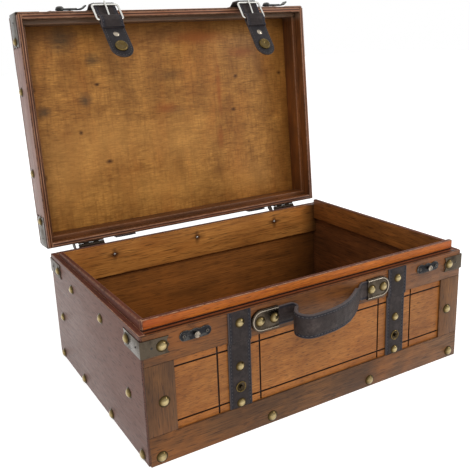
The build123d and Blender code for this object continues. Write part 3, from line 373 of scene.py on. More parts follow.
def group(name, inputs, outputs):
    """New node group with float outputs, and inputs that are vectors where they have no default."""
    tree = bpy.data.node_groups.new(name, "ShaderNodeTree")
    for title, default in inputs.items():
        kind = "NodeSocketVector" if default is None else "NodeSocketFloat"
        socket = tree.interface.new_socket(title, in_out="INPUT", socket_type=kind)
        if default is not None:
            socket.default_value = default
    for title in outputs:
        tree.interface.new_socket(title, in_out="OUTPUT", socket_type="NodeSocketFloat")
    return tree, tree.nodes.new("NodeGroupInput").outputs, tree.nodes.new("NodeGroupOutput").inputs


def wood_group():
    """Grain along X: streaky figure, wavy rings, fine fibres and broad blotches."""
    tree, given, result = group(
        "Wood Figure", {"Vector": None, "Along": 7.0, "Across": 90.0, "Waviness": 5.0},
        ("Tone", "Fibre", "Blotch", "Warmth", "Height"))
    parts = add(tree, "ShaderNodeSeparateXYZ", {0: given["Vector"]}).outputs

    def stretched(along, across):
        """Coordinates drawn out along the grain."""
        x = times(tree, parts[0], times(tree, given["Along"], along))
        step = times(tree, given["Across"], across)
        y, z = [times(tree, parts[i], step) for i in (1, 2)]
        return add(tree, "ShaderNodeCombineXYZ", {0: x, 1: y, 2: z}).outputs[0]

    streaks = noise(tree, stretched(1.0, 1.0), 1.0, 5.0, 0.6, 0.5)
    flecks = noise(tree, stretched(4.5, 7.0), 1.0, 2.0, 0.6, 0.3)
    fibres = noise(tree, stretched(5.0, 12.0), 1.0, 3.0, 0.6)
    pores = noise(tree, stretched(12.0, 13.0), 1.0, 1.0, 0.5)
    waves = {"Vector": stretched(0.55, 0.28), "Scale": 1.1, "Distortion": given["Waviness"], "Detail": 2.0,
             "Detail Scale": 0.7}
    rings = add(tree, "ShaderNodeTexWave", waves, bands_direction="Y").outputs["Fac"]
    blotches = noise(tree, stretched(2.2, 0.25), 1.0, 4.0, 0.6, 0.4)
    warmth = noise(tree, stretched(1.6, 0.12), 1.0, 3.0, 0.6, 0.5)
    tone = times(tree, spread(tree, streaks, 0.34, 0.66), 0.3)
    flecked, fibrous = spread(tree, flecks, 0.36, 0.64), spread(tree, fibres, 0.34, 0.66)
    for mask, share in ((rings, 0.12), (flecked, 0.26), (fibrous, 0.32)):
        tone = plus(tree, tone, times(tree, mask, share))
    fine = spread(tree, pores, 0.56, 0.7)
    height = less(tree, times(tree, fibres, 0.7), times(tree, fine, 0.5))
    blotch, warm = spread(tree, blotches, 0.4, 0.64), spread(tree, warmth, 0.46, 0.64)
    return linked(tree, result, {"Tone": tone, "Fibre": fine, "Blotch": blotch, "Warmth": warm,
                                 "Height": height})


def wear_group():
    """Edge mask of the mesh, broken up by noise."""
    tree, given, result = group("Edge Wear", {"Vector": None, "Scale": 260.0, "Amount": 0.6}, ("Mask",))
    breaks = spread(tree, noise(tree, given["Vector"], given["Scale"], 3.0, 0.6), 0.3, 0.62)
    mask = times(tree, times(tree, mesh_mask(tree, "edge"), breaks), given["Amount"])
    return linked(tree, result, {"Mask": mask})


def spot_group():
    """Ragged spot round a centre, frayed along the grain."""
    tree, given, result = group(
        "Spot", {"Vector": None, "Centre": None, "Size": None, "Raggedness": 0.9}, ("Mask",))
    away = vectors(tree, "SUBTRACT", given["Vector"], given["Centre"])
    share = vectors(tree, "LENGTH", vectors(tree, "DIVIDE", away, given["Size"]), result="Value")
    drawn = vectors(tree, "MULTIPLY", given["Vector"], SPOT_GRAIN)
    ragged = times(tree, noise(tree, drawn, 1.0, 4.0, 0.65), given["Raggedness"])
    return linked(tree, result, {"Mask": spread(tree, plus(tree, share, ragged), 0.6, 1.4, 1.0, 0.0)})


def border_group():
    """Ragged band where one coordinate runs from a start to an end."""
    tree, given, result = group(
        "Border", {"Vector": None, "Axis": None, "Start": 0.0, "End": 1.0, "Fray": 0.5}, ("Mask",))
    level = vectors(tree, "DOT_PRODUCT", given["Vector"], given["Axis"], result="Value")
    share = sums(tree, "DIVIDE", less(tree, level, given["Start"]), less(tree, given["End"], given["Start"]))
    ragged = less(tree, noise(tree, given["Vector"], 55.0, 4.0, 0.65), 0.5)
    mask = spread(tree, plus(tree, share, times(tree, ragged, given["Fray"])), 0.0, 1.0)
    return linked(tree, result, {"Mask": mask})


def leather_group():
    """Pebbled leather with creases and rubbed places."""
    tree, given, result = group("Leather Grain", {"Vector": None, "Scale": 900.0}, ("Height", "Rub", "Tone"))
    cells = add(tree, "ShaderNodeTexVoronoi", {"Vector": given["Vector"], "Scale": given["Scale"]},
                feature="DISTANCE_TO_EDGE").outputs["Distance"]
    creases = noise(tree, given["Vector"], 190.0, 4.0, 0.65, 0.8)
    height = plus(tree, times(tree, spread(tree, cells, 0.0, 0.25), 0.5), creases)
    rub = spread(tree, noise(tree, given["Vector"], 60.0, 4.0, 0.7), 0.52, 0.74)
    return linked(tree, result, {"Height": height, "Rub": rub, "Tone": spread(tree, creases, 0.3, 0.7)})


def patina_group():
    """Cloudy patina with small pits."""
    tree, given, result = group(
        "Patina", {"Vector": None, "Scale": 160.0, "Cover": 0.5}, ("Mask", "Height"))
    clouds = noise(tree, given["Vector"], given["Scale"], 5.0, 0.65, 0.3)
    pits = noise(tree, given["Vector"], times(tree, given["Scale"], 5.0), 2.0, 0.5)
    mask = spread(tree, less(tree, plus(tree, clouds, given["Cover"]), 0.5), 0.36, 0.62)
    return linked(tree, result, {"Mask": mask, "Height": plus(tree, pits, times(tree, clouds, 0.5))})


EFFECTS = {"wood": wood_group, "wear": wear_group, "spot": spot_group, "border": border_group,
           "leather": leather_group, "patina": patina_group}
GROUPS = {}


def effect(tree, name, inputs):
    """Shared effect placed in a material, built the first time that it is asked for."""
    if name not in GROUPS:
        GROUPS[name] = EFFECTS[name]()
    return add(tree, "ShaderNodeGroup", inputs, node_tree=GROUPS[name]).outputs


def material(name, **plain):
    """New material and its tree, shader inputs and object coordinates."""
    made = bpy.data.materials.new(name)
    made.use_nodes = True
    tree = made.node_tree
    shader = tree.nodes["Principled BSDF"].inputs
    for socket, value in plain.items():
        shader[socket.replace("_", " ")].default_value = value
    return made, tree, shader, add(tree, "ShaderNodeTexCoord").outputs["Object"]


def finished(tree, shader, base, roughness, height, depth, strength):
    """Link the colour, roughness and relief of a material to its shader."""
    bump = add(tree, "ShaderNodeBump", {"Strength": strength, "Distance": depth * MM, "Height": height})
    linked(tree, shader, {"Base Color": base, "Roughness": roughness, "Normal": bump.outputs[0]})


def layered(tree, place, base, grime_and_shade, across, pitch, pale):
    """Plies that show on a cut edge: dark glue lines and pale layers across the thickness."""
    level = vectors(tree, "DOT_PRODUCT", place, across, result="Value")
    level = plus(tree, level, times(tree, noise(tree, place, 30.0), 0.6 * MM))
    share = sums(tree, "FRACT", sums(tree, "DIVIDE", level, pitch * MM))
    faded = spread(tree, noise(tree, place, 26.0, 3.0, 0.6), 0.36, 0.6, 0.25, 1.0)
    light, dark = [spread(tree, sums(tree, "ABSOLUTE", less(tree, share, middle)), near, far, most, 0.0)
                   for middle, near, far, most in ((0.7, 0.05, 0.17, 0.7), (0.3, 0.1, 0.24, 0.9))]
    return mixed(tree, dark, painted(tree, base, light, faded, pale), grime_and_shade)


def tones(woods, word):
    """Light and dark figure of one of the woods, and the colour of grime and painted shade that all of them
    share.
    """
    light, dark = getattr(woods, f"{word}_light"), getattr(woods, f"{word}_dark")
    return {"light": light, "dark": dark, "grime_and_shade": woods.grime_and_shade}


def wood(name, light, dark, grime_and_shade, axis="X", seed=0, along=7.0, across=90.0, waviness=5.0, stain=0.35,
         pores=0.6, wear=0.6, gloss=0.42, edge=None, warm=None, spots=(), borders=(), groove=None, plies=None,
         hatch=None):
    """Stained wood with its grain along an axis, patches, spots, borders, and grooves darkened with grime and
    painted shade.
    """
    made, tree, shader, place = material(name, Specular_IOR_Level=0.26)
    shift = (seed * 0.37, seed * 0.53, seed * 0.71)
    turn = add(tree, "ShaderNodeMapping", {"Vector": place, "Location": shift, "Rotation": GRAIN_TURN[axis]})
    figure = effect(tree, "wood", {"Vector": turn.outputs[0], "Along": along, "Across": across,
                                   "Waviness": waviness})
    base = mixed(tree, figure["Tone"], dark, light)
    if warm:
        base = painted(tree, base, figure["Warmth"], warm[1], warm[0])
    for direction, begin, end, strength, shade in borders:
        reach = {"Vector": place, "Axis": direction, "Start": begin * MM, "End": end * MM}
        base = painted(tree, base, effect(tree, "border", reach)["Mask"], strength, shade)
    base = painted(tree, base, figure["Blotch"], stain, dark)
    base = painted(tree, base, figure["Fibre"], pores, grime_and_shade)
    if hatch:
        drawn = vectors(tree, "MULTIPLY", place, hatch)
        base = mixed(tree, spread(tree, noise(tree, drawn, 1.0, 3.0, 0.7), 0.48, 0.64, 0.0, 0.4), base, dark)
    if plies:
        base = layered(tree, place, base, grime_and_shade, *plies)
    for centre, size, strength, shade in spots:
        mask = effect(tree, "spot", {"Vector": place, "Centre": centre, "Size": size})["Mask"]
        base = painted(tree, base, mask, strength, shade)
    # The grooves are darkened inside: grime, and painted shade in the recess.
    if groove:
        depth = add(tree, "ShaderNodeSeparateXYZ", {0: place}).outputs[1]
        near, far = [groove + reach * MM for reach in GROOVE_END]
        mask = spread(tree, depth, groove - GROOVE_SOFT * MM, groove + GROOVE_SOFT * MM)
        base = painted(tree, base, mask, spread(tree, depth, near, far, 1.0, 0.0), grime_and_shade)
    # Worn edges take the edge colour, grime by default: dirt, plus painted shade in the gaps between boards.
    # A pale edge colour is a painted highlight.
    worn = effect(tree, "wear", {"Vector": place, "Amount": wear})["Mask"]
    rough = spread(tree, figure["Tone"], 0.0, 1.0, gloss + 0.12, gloss - 0.06)
    finished(tree, shader, mixed(tree, worn, base, edge or grime_and_shade), rough, figure["Height"], 0.25, 0.5)
    return made


def leather(name, hide, worn, rub=0.35, wear=0.7, rim=None):
    """Pebbled hide, rubbed pale in places and darker towards its rims."""
    made, tree, shader, place = material(name, Specular_IOR_Level=0.2)
    grain = effect(tree, "leather", {"Vector": place})
    base = mixed(tree, grain["Tone"], tuple(c * 0.6 for c in hide), hide)
    base = painted(tree, base, grain["Rub"], rub, worn)
    if rim:
        outward = mesh_mask(tree, "crown")
        base = mixed(tree, spread(tree, outward, 0.6, 0.84, 0.0, 0.85), base, rim)
        base = mixed(tree, spread(tree, outward, 0.88, 0.97, 0.0, 0.45), base, worn)
    edge = effect(tree, "wear", {"Vector": place, "Scale": 320.0, "Amount": wear})["Mask"]
    rough = spread(tree, grain["Tone"], 0.0, 1.0, 0.62, 0.46)
    finished(tree, shader, mixed(tree, edge, base, worn), rough, grain["Height"], 0.3, 0.55)
    return made


def thread(name, leathers):
    """Finish of the stitches."""
    return leather(name, leathers.thread, leathers.strap, rub=0.3, wear=0.0)


def metal(name, bright, dull, cover=0.5, scale=160.0, wear=0.8, crown=None, rough=(0.26, 0.5)):
    """Metal with cloudy patina, worn bright on its edges, or domes from a dark foot, tarnish and painted
    shade, to a crown with a painted highlight.
    """
    made, tree, shader, place = material(name, Metallic=1.0)
    cloud = effect(tree, "patina", {"Vector": place, "Scale": scale, "Cover": cover})
    body, mask = bright, cloud["Mask"]
    # On domes the crown is painted bright, a painted highlight, and the foot dark, partly tarnish and partly
    # painted shade.
    if crown:
        height = mesh_mask(tree, "crown")
        body = mixed(tree, spread(tree, height, 0.45, 1.0), crown, bright)
        mask = sums(tree, "MAXIMUM", times(tree, mask, 0.5), spread(tree, height, 0.08, 0.55, 1.0, 0.0))
    edge = effect(tree, "wear", {"Vector": place, "Amount": wear})["Mask"]
    base = mixed(tree, edge, mixed(tree, mask, body, dull), bright)
    finished(tree, shader, base, spread(tree, mask, 0.0, 1.0, *rough), cloud["Height"], 0.12, 0.35)
    return made


# Mesh building, in millimetres on the closed chest

def blank():
    """Empty mesh with its two masks: edge on faces, crown on corners."""
    mesh = bmesh.new()
    mesh.faces.layers.float.new("edge")
    mesh.verts.layers.float.new("crown")
    return mesh


def block(low, high, bevel=0.7, segments=2, top=None):
    """Box with worn edges, whose upper ones are first rounded further if top gives a radius."""
    mesh = blank()
    mark = mesh.faces.layers.float["edge"]
    low, high = Vector(low), Vector(high)
    for vertex in bmesh.ops.create_cube(mesh, size=1)["verts"]:
        vertex.co = Vector((l + h) / 2 + c * (h - l) for l, h, c in zip(low, high, vertex.co))
    if top:
        edges = [e for e in mesh.edges if all(v.co.z > high.z - 0.01 for v in e.verts)]
        bmesh.ops.bevel(mesh, geom=edges, offset=top, segments=4, profile=0.5, affect="EDGES")
    rims = [e for e in mesh.edges if e.calc_face_angle() > radians(60)]
    made = bmesh.ops.bevel(mesh, geom=rims, offset=bevel, segments=segments, profile=0.5, affect="EDGES",
                           clamp_overlap=True)
    for face in made["faces"]:
        face[mark] = 1.0
    return mesh


def sheet(outline, thickness, bevel):
    """Flat sheet in the XY plane with rounded rims, its middle at height zero."""
    mesh = blank()
    mark = mesh.faces.layers.float["edge"]
    rings = [[mesh.verts.new((x, y, z)) for x, y in outline] for z in (-thickness / 2, thickness / 2)]
    mesh.faces.new(rings[0][::-1])
    mesh.faces.new(rings[1])
    for i, j in zip(range(len(outline)), [*range(1, len(outline)), 0]):
        mesh.faces.new((rings[0][i], rings[0][j], rings[1][j], rings[1][i]))
    bmesh.ops.recalc_face_normals(mesh, faces=mesh.faces)
    rims = [e for e in mesh.edges if abs(e.verts[0].co.z - e.verts[1].co.z) < 1e-6]
    bmesh.ops.bevel(mesh, geom=rims, offset=bevel, segments=2, profile=0.5, affect="EDGES",
                    clamp_overlap=True)
    for face in mesh.faces:
        face[mark] = 0.0 if abs(face.normal.z) > 0.99 else 1.0
    return mesh


def circle(radius, sides):
    """Width and height of the points of a circle."""
    return [(radius * cos(2 * pi * i / sides), radius * sin(2 * pi * i / sides)) for i in range(sides)]


def skinned(mesh, rings, closed=False):
    """Faces between rings of corners, each given with the two corners at its foot, and caps on open ends."""
    made = []
    for lower, upper in zip(rings, rings[1:] + rings[:1] if closed else rings[1:]):
        for i in range(len(lower)):
            j = (i + 1) % len(lower)
            face = mesh.faces.new((lower[i], lower[j], upper[j], upper[i]))
            made.append((face, lower[i], lower[j]))
    if not closed:
        mesh.faces.new(rings[0])
        mesh.faces.new(rings[-1][::-1])
    bmesh.ops.recalc_face_normals(mesh, faces=mesh.faces)
    return made


def lathe(profile, sides=28):
    """Round body about the Z axis from its foot to its crown."""
    mesh = blank()
    crown = mesh.verts.layers.float["crown"]
    top = max(z for _, z in profile)
    rings = []
    for radius, z in profile:
        around = circle(radius, sides) if radius > 0 else [(0, 0)]
        ring = [mesh.verts.new((x, y, z)) for x, y in around]
        for vertex in ring:
            vertex[crown] = max(z, 0) / top
        rings.append(ring)
    for lower, upper in zip(rings, rings[1:]):
        for i in range(sides):
            j = (i + 1) % sides
            above = (upper[j], upper[i]) if len(upper) > 1 else (upper[0],)
            mesh.faces.new((lower[i], lower[j], *above))
    mesh.faces.new(rings[0][::-1])
    return mesh


def cap(radius, height, foot=0.0, steps=7):
    """Profile of a spherical cap from its foot to its crown."""
    sphere = (radius**2 + height**2) / (2 * height)
    spread_angle = asin(min(1, radius / sphere))
    points = []
    for step in range(steps + 1):
        angle = spread_angle * (1 - step / steps)
        points.append((sphere * sin(angle), foot + height - sphere + sphere * cos(angle)))
    points[-1] = (0, foot + height)
    return points


def copies(mesh, places):
    """The same shape at each place."""
    plain = bpy.data.meshes.new("pattern")
    mesh.to_mesh(plain)
    mesh.free()
    made = blank()
    for place in places:
        count = len(made.verts)
        made.from_mesh(plain)
        made.verts.ensure_lookup_table()
        bmesh.ops.transform(made, matrix=place, verts=made.verts[count:])
    bpy.data.meshes.remove(plain)
    return made


def facing(point, direction):
    """Place whose Z axis leaves a surface at a point."""
    return Matrix.Translation(point) @ Vector(direction).to_track_quat("Z", "Y").to_matrix().to_4x4()


def rounded(corners, radii):
    """Line through the corners, turned with arcs, as pairs of point and heading."""
    corners = [Vector(corner) for corner in corners]
    first, last = corners[1] - corners[0], corners[-1] - corners[-2]
    line = [(corners[0], atan2(first.y, first.x))]
    for before, corner, after, radius in zip(corners, corners[1:], corners[2:], radii):
        start = atan2(corner.y - before.y, corner.x - before.x)
        turn = (atan2(after.y - corner.y, after.x - corner.x) - start + pi) % (2 * pi) - pi
        side = 1 if turn > 0 else -1
        begin = corner - Vector((cos(start), sin(start))) * radius * tan(abs(turn) / 2)
        centre = begin + Vector((-sin(start), cos(start))) * radius * side
        steps = max(2, ceil(abs(turn) / radians(10)))
        for step in range(steps + 1):
            heading = start + turn * step / steps
            line.append((centre - Vector((-sin(heading), cos(heading))) * radius * side, heading))
    line.append((corners[-1], atan2(last.y, last.x)))
    return line


def stations(line):
    """Distance of each of a line's points from its start."""
    total, marks = 0.0, [0.0]
    for (a, _), (b, _) in zip(line, line[1:]):
        total += (b - a).length
        marks.append(total)
    return marks


def along(line, marks, distance):
    """Point and normal of a line at a distance from its start."""
    last = len(marks) - 2
    index = next((i for i in range(last + 1) if distance <= marks[i + 1]), last)
    span = marks[index + 1] - marks[index]
    share = (distance - marks[index]) / span if span else 0.0
    (a, start), (b, end) = line[index], line[index + 1]
    heading = start + ((end - start + pi) % (2 * pi) - pi) * min(max(share, 0), 1)
    return a.lerp(b, share), Vector((-sin(heading), cos(heading)))


def straps_space(x):
    """Line of depth and height, with the sheet's width along X."""
    return lambda point, across: Vector((x + across, point.x, point.y))


def grip_space(point, across):
    """Line of width and distance out of the wall, with the sheet's width up the wall."""
    return Vector((point.x, FRONT - point.y, PLATE_Z + across))


def wrapped(mesh, line, space):
    """Bend a flat sheet, drawn with its length along X, onto a line."""
    marks = stations(line)
    for mark in marks[1:-1]:
        everything = mesh.verts[:] + mesh.edges[:] + mesh.faces[:]
        bmesh.ops.bisect_plane(mesh, geom=everything, plane_co=(mark, 0, 0), plane_no=(1, 0, 0))
    for vertex in mesh.verts:
        point, normal = along(line, marks, vertex.co.x)
        vertex.co = space(point + normal * vertex.co.z, vertex.co.y)
    bmesh.ops.recalc_face_normals(mesh, faces=mesh.faces)
    return mesh


def profile(half, thickness, leathers, pad=0.0):
    """Cross-section of a sewn band: rounded rims, a furrow under each seam and a padded middle."""
    up, r = thickness / 2, leathers.rounding / MM
    seam = half - leathers.margin / MM
    right = [(half, r - up), (half, up - r), (half - 0.3 * r, up - 0.3 * r), (half - r, up),
             (seam + FURROW, up), (seam, up - FURROW_DEPTH), (seam - FURROW, up),
             (0.5 * half, up + 0.75 * pad), (0.0, up + pad)]
    left = [(-across, height) for across, height in right[-2::-1]]
    under = [(0.3 * r - half, 0.3 * r - up), (r - half, -up), (half - r, -up), (half - 0.3 * r, 0.3 * r - up)]
    return right + left + under


def plain_profile(width, thickness, round_off=0.25):
    """Cross-section of a bar with small bevels."""
    a, b, r = width / 2, thickness / 2, round_off
    right, upper, left = [(a, r - b), (a, b - r)], [(a - r, b), (r - a, b)], [(-a, b - r), (-a, r - b)]
    return right + upper + left + [(r - a, -b), (a - r, -b)]


def band(line, space, section, pitch=2.0):
    """Strip along a line, with the cross-section that belongs to each distance."""
    marks = stations(line)
    steps = []
    for start, end in zip(marks, marks[1:]):
        count = ceil((end - start) / pitch) if end - start > 1e-6 else 0
        steps += [start + (end - start) * i / count for i in range(count)]
    mesh = blank()
    mark, crown = mesh.faces.layers.float["edge"], mesh.verts.layers.float["crown"]
    rings = []
    for step in [*steps, marks[-1]]:
        shape = section(step)
        point, normal = along(line, marks, step)
        ring = [mesh.verts.new(space(point + normal * height, across)) for across, height in shape]
        for vertex, (across, _) in zip(ring, shape):
            vertex[crown] = abs(across) / shape[0][0]
        rings.append(ring)
    for face, first, second in skinned(mesh, rings):
        face[mark] = 1.0 if min(first[crown], second[crown]) > RIM_SHARE else 0.0
    return mesh


def wire(line, radius, depth, closed=True):
    """Round wire along a flat line of width and height, at a depth."""
    mesh = blank()
    rings = []
    for point, heading in line[:-1] if closed else line:
        across, up = -sin(heading), cos(heading)
        rings.append([mesh.verts.new((point.x + across * side, depth + rise, point.y + up * side))
                      for side, rise in circle(radius, 10)])
    skinned(mesh, rings, closed)
    return mesh


def moved(mesh, matrix):
    bmesh.ops.transform(mesh, matrix=matrix, verts=mesh.verts)
    return mesh


def upright(point):
    """Place that stands a flat sheet up against a wall, its front towards the viewer."""
    return Matrix.Translation(point) @ Matrix.Rotation(radians(90), 4, "X")


def stitch(size):
    """Single stitch lying along X: a plump thread that dips at both ends."""
    mesh = blank()
    rings = []
    for share, radius in ((-0.5, 0.16), (-0.36, 0.3), (0.0, THREAD), (0.36, 0.3), (0.5, 0.16)):
        dip = -0.5 * (2 * share) ** 4
        ring = [mesh.verts.new((share * size, across, dip + rise)) for across, rise in circle(radius, 6)]
        rings.append(ring)
    skinned(mesh, rings)
    return mesh


def stitches(leathers, places):
    """A seam's stitches, the same one at each place."""
    return copies(stitch(leathers.stitch / MM), places)


def middles(start, end, leathers):
    """Distances of the middles of the stitches in a row."""
    count = int((end - start) / (leathers.pitch / MM))
    return [start + (index + 0.5) * (end - start) / count for index in range(count)]


def sewn(line, space, beside, rise, start, end, leathers):
    """Places of the stitches in a row beside a line, from one distance to another."""
    marks = stations(line)
    places = []
    for middle in middles(start, end, leathers):
        points = []
        for step in (middle - 0.5, middle + 0.5):
            point, normal = along(line, marks, step)
            points.append(space(point + normal * rise, beside(point)))
        point, normal = along(line, marks, middle)
        up = (space(point + normal * (rise + 1), 0) - space(point + normal * rise, 0)).normalized()
        ahead = (points[1] - points[0]).normalized()
        side = up.cross(ahead).normalized()
        axes = Matrix((ahead, side, ahead.cross(side))).transposed().to_4x4()
        places.append(Matrix.Translation((points[0] + points[1]) / 2) @ axes)
    return places


def sewn_flat(line, depth, leathers):
    """Places of the stitches along a line of width and height on a flat face."""
    marks = stations(line)
    places = []
    for middle in middles(0.0, marks[-1], leathers):
        point, normal = along(line, marks, middle)
        side, up = Vector((normal.x, 0, normal.y)), Vector(TO_FRONT)
        axes = Matrix((side.cross(up), side, up)).transposed().to_4x4()
        places.append(Matrix.Translation((point.x, depth, point.y)) @ axes)
    return places


def piece(name, shapes, body, look, nodes=(), place=CLOSED, sharp=35, choose=None):
    """Blender object from shapes, set in its place, in metres, on its body."""
    whole = blank()
    for shape in shapes:
        part = bpy.data.meshes.new("part")
        shape.to_mesh(part)
        shape.free()
        whole.from_mesh(part)
        bpy.data.meshes.remove(part)
    if choose:
        for face in whole.faces:
            face.material_index = int(choose(face.calc_center_median()))
    mesh = bpy.data.meshes.new(name)
    whole.to_mesh(mesh)
    whole.free()
    mesh.transform(Matrix.Scale(MM, 4) @ place)
    mesh.shade_smooth()
    mesh.set_sharp_from_angle(angle=radians(sharp))
    for finish in look if isinstance(look, (list, tuple)) else [look]:
        mesh.materials.append(finish)
    made = bpy.data.objects.new(name, mesh)
    bpy.context.scene.collection.objects.link(made)
    if body:
        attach(made, body)
    if nodes:
        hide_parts(*nodes)
    return made


def repaint(node, look, bevel=0.0):
    """Give a node of the frame a better material, and small rounded edges."""
    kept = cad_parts[node]
    for slot in kept.material_slots:
        slot.material = look
    if bevel:
        weld = kept.modifiers.new("weld", "WELD")
        weld.merge_threshold = 0.01 * MM
        soften = kept.modifiers.new("bevel", "BEVEL")
        soften.width, soften.segments, soften.limit_method = bevel * MM, 2, "ANGLE"
        soften.angle_limit, soften.harden_normals = radians(40), False


def dome(radius, height):
    """Dome nail with a thin turned collar."""
    lip, foot = 0.12 * radius, 0.14 * height
    collar = [(radius, 0), (radius, foot * 0.6), (radius - 0.4 * lip, foot)]
    return lathe([*collar, *cap(radius - lip, height - foot, foot)])


# Outlines and lines that several pieces use

def strap_line():
    """Leather of a lid strap, from its cut end through the fold to the back rim."""
    hump, over = BUCKLE_Y - HUMP_OUT, FLAP_FACE - STRAP_THICK / 2
    front, top, back = FRONT - STRAP_THICK / 2, TOP + STRAP_THICK / 2, BACK + STRAP_THICK / 2
    rise, fall = BUCKLE_BOTTOM + HUMP_HALF, BUCKLE_BOTTOM - HUMP_HALF
    corners = [(over, TAIL_END), (over, fall - HUMP_SLOPE), (hump, fall), (hump, rise),
               (FLAP_Y, rise + HUMP_SLOPE), (FLAP_Y, RIM_TURN), (front, FRONT_TURN), (front, top),
               (back, top), (back, RIM)]
    return rounded(corners, [1.5, 1.5, 1.5, 1.5, 1.2, 3.0, 4.0, 4.0])


def base_strap_line():
    """Leather of a base strap, from the lower rail over the upper one to the base's edge."""
    board, face = BOARD_FRONT - STRAP_THICK / 2, FRONT - STRAP_THICK / 2
    corners = [(board, STRAP_LOW), (board, STRAP_STEP), (face, RAIL_BOTTOM), (face, BASE_HEIGHT)]
    return rounded(corners, [2.0, 2.0])


def crossings(line, marks, level):
    """Distances along a line at which it crosses a level."""
    ends = [(point.y - level, mark) for (point, _), mark in zip(line, marks)]
    return [m + (n - m) * u / (u - v) for (u, m), (v, n) in zip(ends, ends[1:]) if u * v < 0]


def scalloped(start, end, height, depth=2.0):
    """Strip from one scalloped end to the other."""
    steps = 16
    rows = [-height / 2 + height * step / steps for step in range(steps + 1)]
    bays = [depth * abs(sin(2 * pi * step / steps)) for step in range(steps + 1)]
    right = [(end - bay, row) for row, bay in zip(rows, bays)]
    return right + [(start + bay, row) for row, bay in zip(rows[::-1], bays)]


def oval(reach, width, bay=1.0):
    """Long plate with round ends and two shallow bays in its upper edge."""
    radius = width / 2
    straight = reach / 2 - radius
    turns = [radians(-90 + 15 * i) for i in range(13)]
    right = [(straight + radius * cos(a), radius * sin(a)) for a in turns]
    upper = []
    for step in range(1, 20):
        x = straight * (1 - step / 10)
        dip = radius**2 - (abs(x) - radius) ** 2
        edge = 2 * radius - bay - dip**0.5 if dip > 0 else radius
        upper.append((x, min(radius, edge)))
    left = [(-x, -y) for x, y in right]
    return right + upper + left


def mirrored(low, high, side):
    """Corners of a box on the left or right side."""
    xs = sorted((side * low[0], side * high[0]))
    return (xs[0], *low[1:]), (xs[1], *high[1:])


def eased(share):
    """Share from 0 to 1 that starts and ends softly."""
    held = min(max(share, 0.0), 1.0)
    return held * held * (3 - 2 * held)


class ChestPiece:
    """What the operators have in common."""
    bl_options = {"REGISTER", "UNDO"}


